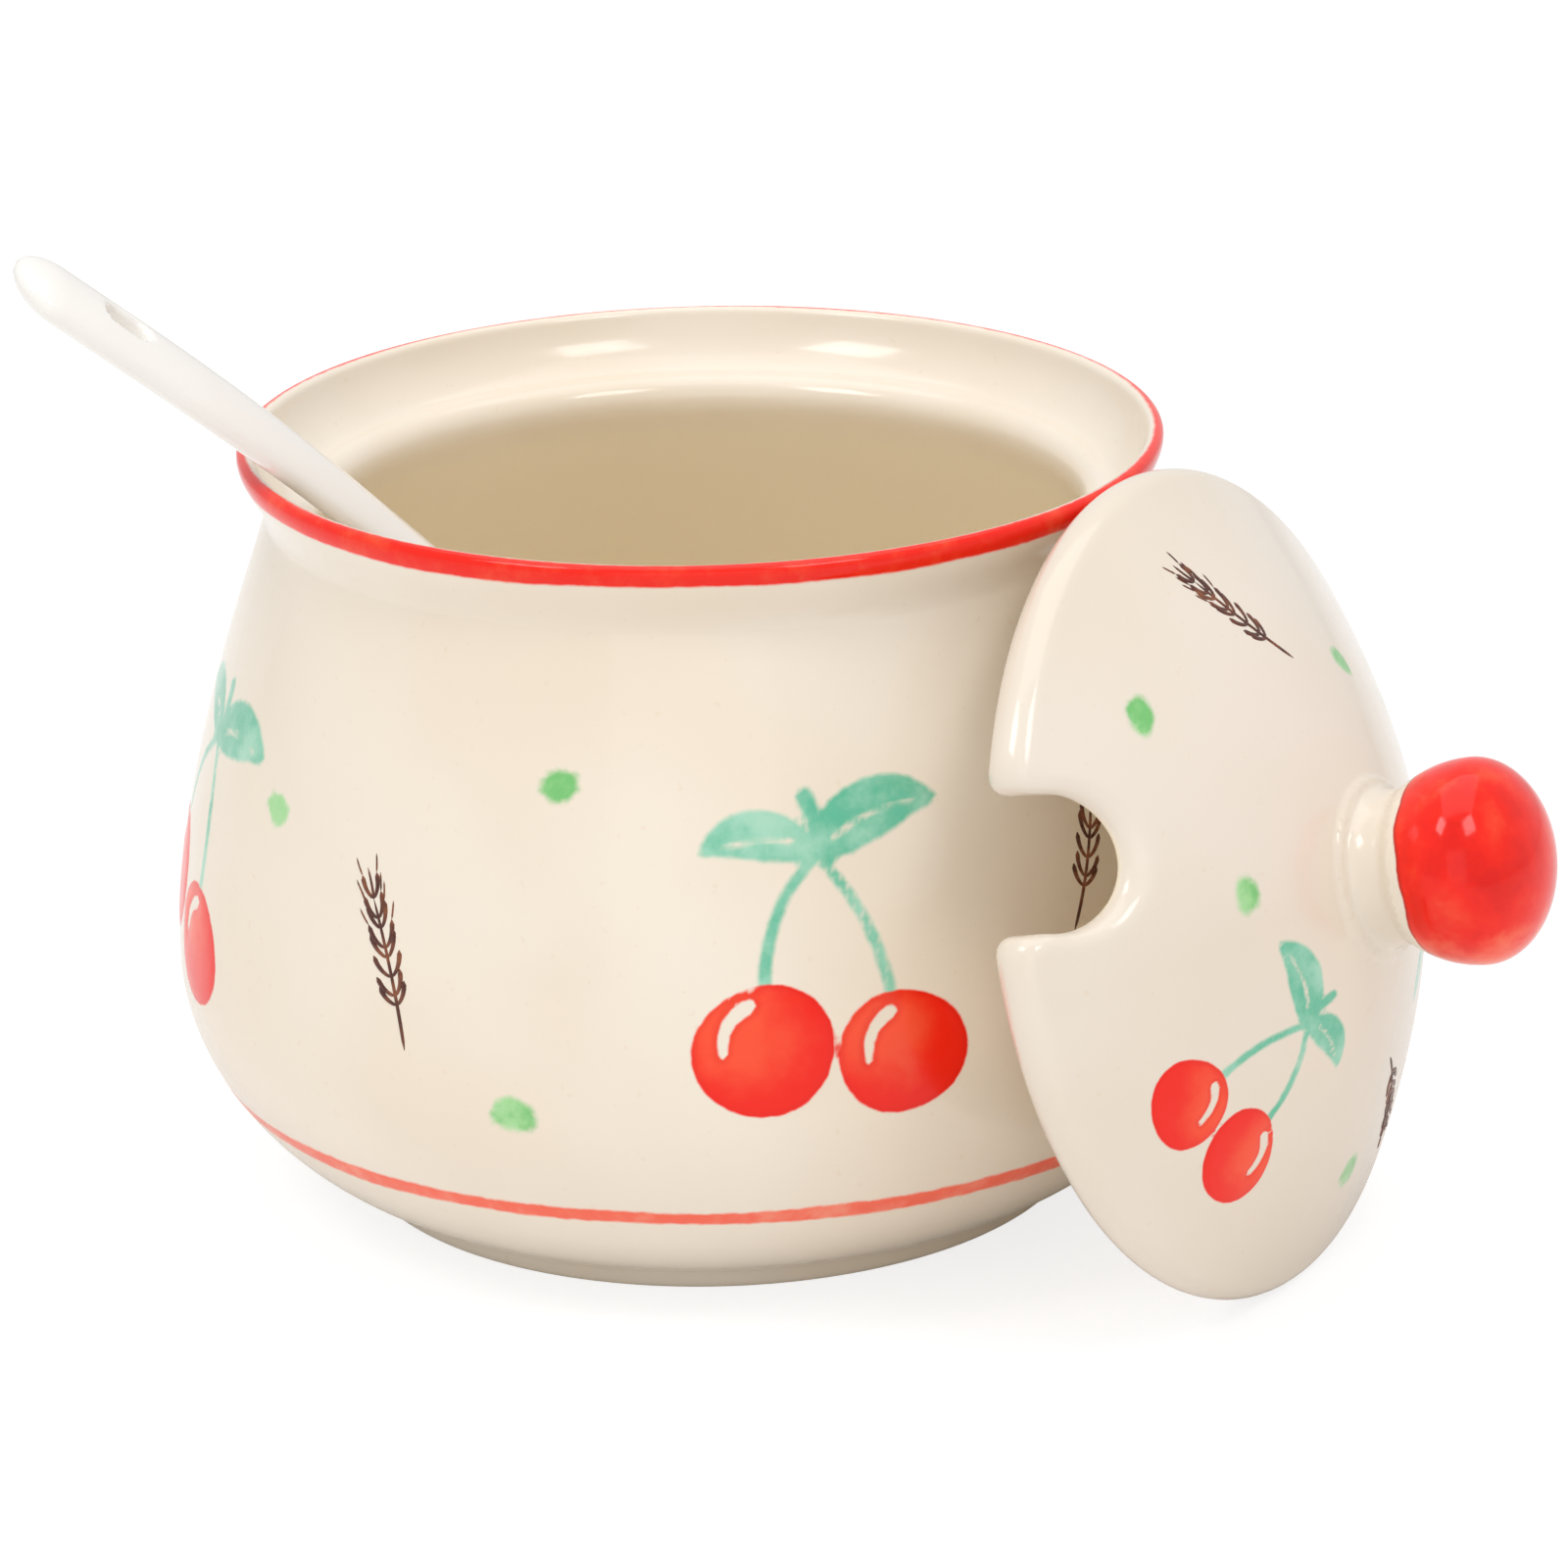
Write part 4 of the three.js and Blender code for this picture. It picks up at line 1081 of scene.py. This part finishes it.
scene.view_settings.view_transform = "Standard"
floor_mesh = bpy.data.meshes.new("floor")
corners = [(FLOOR_SPAN * x, FLOOR_SPAN * y, 0) for x, y in ((-1, -1), (1, -1), (1, 1), (-1, 1))]
floor_mesh.from_pydata(corners, [], [(0, 1, 2, 3)])
floor = bpy.data.objects.new("floor", floor_mesh)
scene.collection.objects.link(floor)
floor_material = bpy.data.materials.new("floor_pale")
floor_material.use_nodes = True
tree = floor_material.node_tree
tree.nodes.clear()
out = new_node(tree, "ShaderNodeOutputMaterial")
lighting = new_node(tree, "ShaderNodeBsdfDiffuse", Color=(FLOOR_GREY, FLOOR_GREY, FLOOR_GREY, 1))
glow = new_node(tree, "ShaderNodeEmission", Strength=FLOOR_GLOW)
shaded = new_node(tree, "ShaderNodeBsdfDiffuse", Color=(FLOOR_SHADE, FLOOR_SHADE, FLOOR_SHADE, 1))
seen = new_node(tree, "ShaderNodeAddShader")
path = new_node(tree, "ShaderNodeLightPath")
chosen = new_node(tree, "ShaderNodeMixShader")
wire(tree,
     (glow.outputs[0], seen.inputs[0]), (shaded.outputs[0], seen.inputs[1]),
     (path.outputs["Is Camera Ray"], chosen.inputs["Fac"]),
     (lighting.outputs[0], chosen.inputs[1]), (seen.outputs[0], chosen.inputs[2]),
     (chosen.outputs[0], out.inputs["Surface"]))
floor_mesh.materials.append(floor_material)

world = bpy.data.worlds.new("studio")
scene.world = world
world.use_nodes = True
tree = world.node_tree
tree.nodes.clear()
out = new_node(tree, "ShaderNodeOutputWorld")
fill = new_node(tree, "ShaderNodeBackground", Color=FILL_COLOUR, Strength=FILL_STRENGTH)
white = new_node(tree, "ShaderNodeBackground", Strength=1.0)
path = new_node(tree, "ShaderNodeLightPath")
first, second = new_node(tree, "ShaderNodeMath"), new_node(tree, "ShaderNodeMath")
first.operation = second.operation = "MAXIMUM"
chosen = new_node(tree, "ShaderNodeMixShader")
wire(tree,
     (path.outputs["Is Camera Ray"], first.inputs[0]), (path.outputs["Is Glossy Ray"], first.inputs[1]),
     (first.outputs[0], second.inputs[0]), (path.outputs["Is Transmission Ray"], second.inputs[1]),
     (second.outputs[0], chosen.inputs["Fac"]),
     (fill.outputs[0], chosen.inputs[1]), (white.outputs[0], chosen.inputs[2]),
     (chosen.outputs[0], out.inputs["Surface"]))

AIM = Vector((0.0, 0.0, 0.04))
for name, azimuth, elevation, distance, size, power in (
    ("lamp_left", -147, 52, 1.1, 0.32, 2.0),
    ("lamp_right", -55, 52, 1.1, 0.32, 1.7),
    ("lamp_top", 90, 82, 1.2, 1.2, 4.6),
    ("lamp_front", -94, 14, 1.3, 0.9, 1.1),
):
    lamp = bpy.data.lights.new(name, "AREA")
    lamp.shape, lamp.size, lamp.energy = "SQUARE", size, power
    holder = bpy.data.objects.new(name, lamp)
    toward = Vector(heading(math.radians(azimuth), math.radians(elevation)))
    holder.location = AIM + distance * toward
    holder.rotation_euler = (AIM - holder.location).to_track_quat("-Z", "Y").to_euler()
    scene.collection.objects.link(holder)
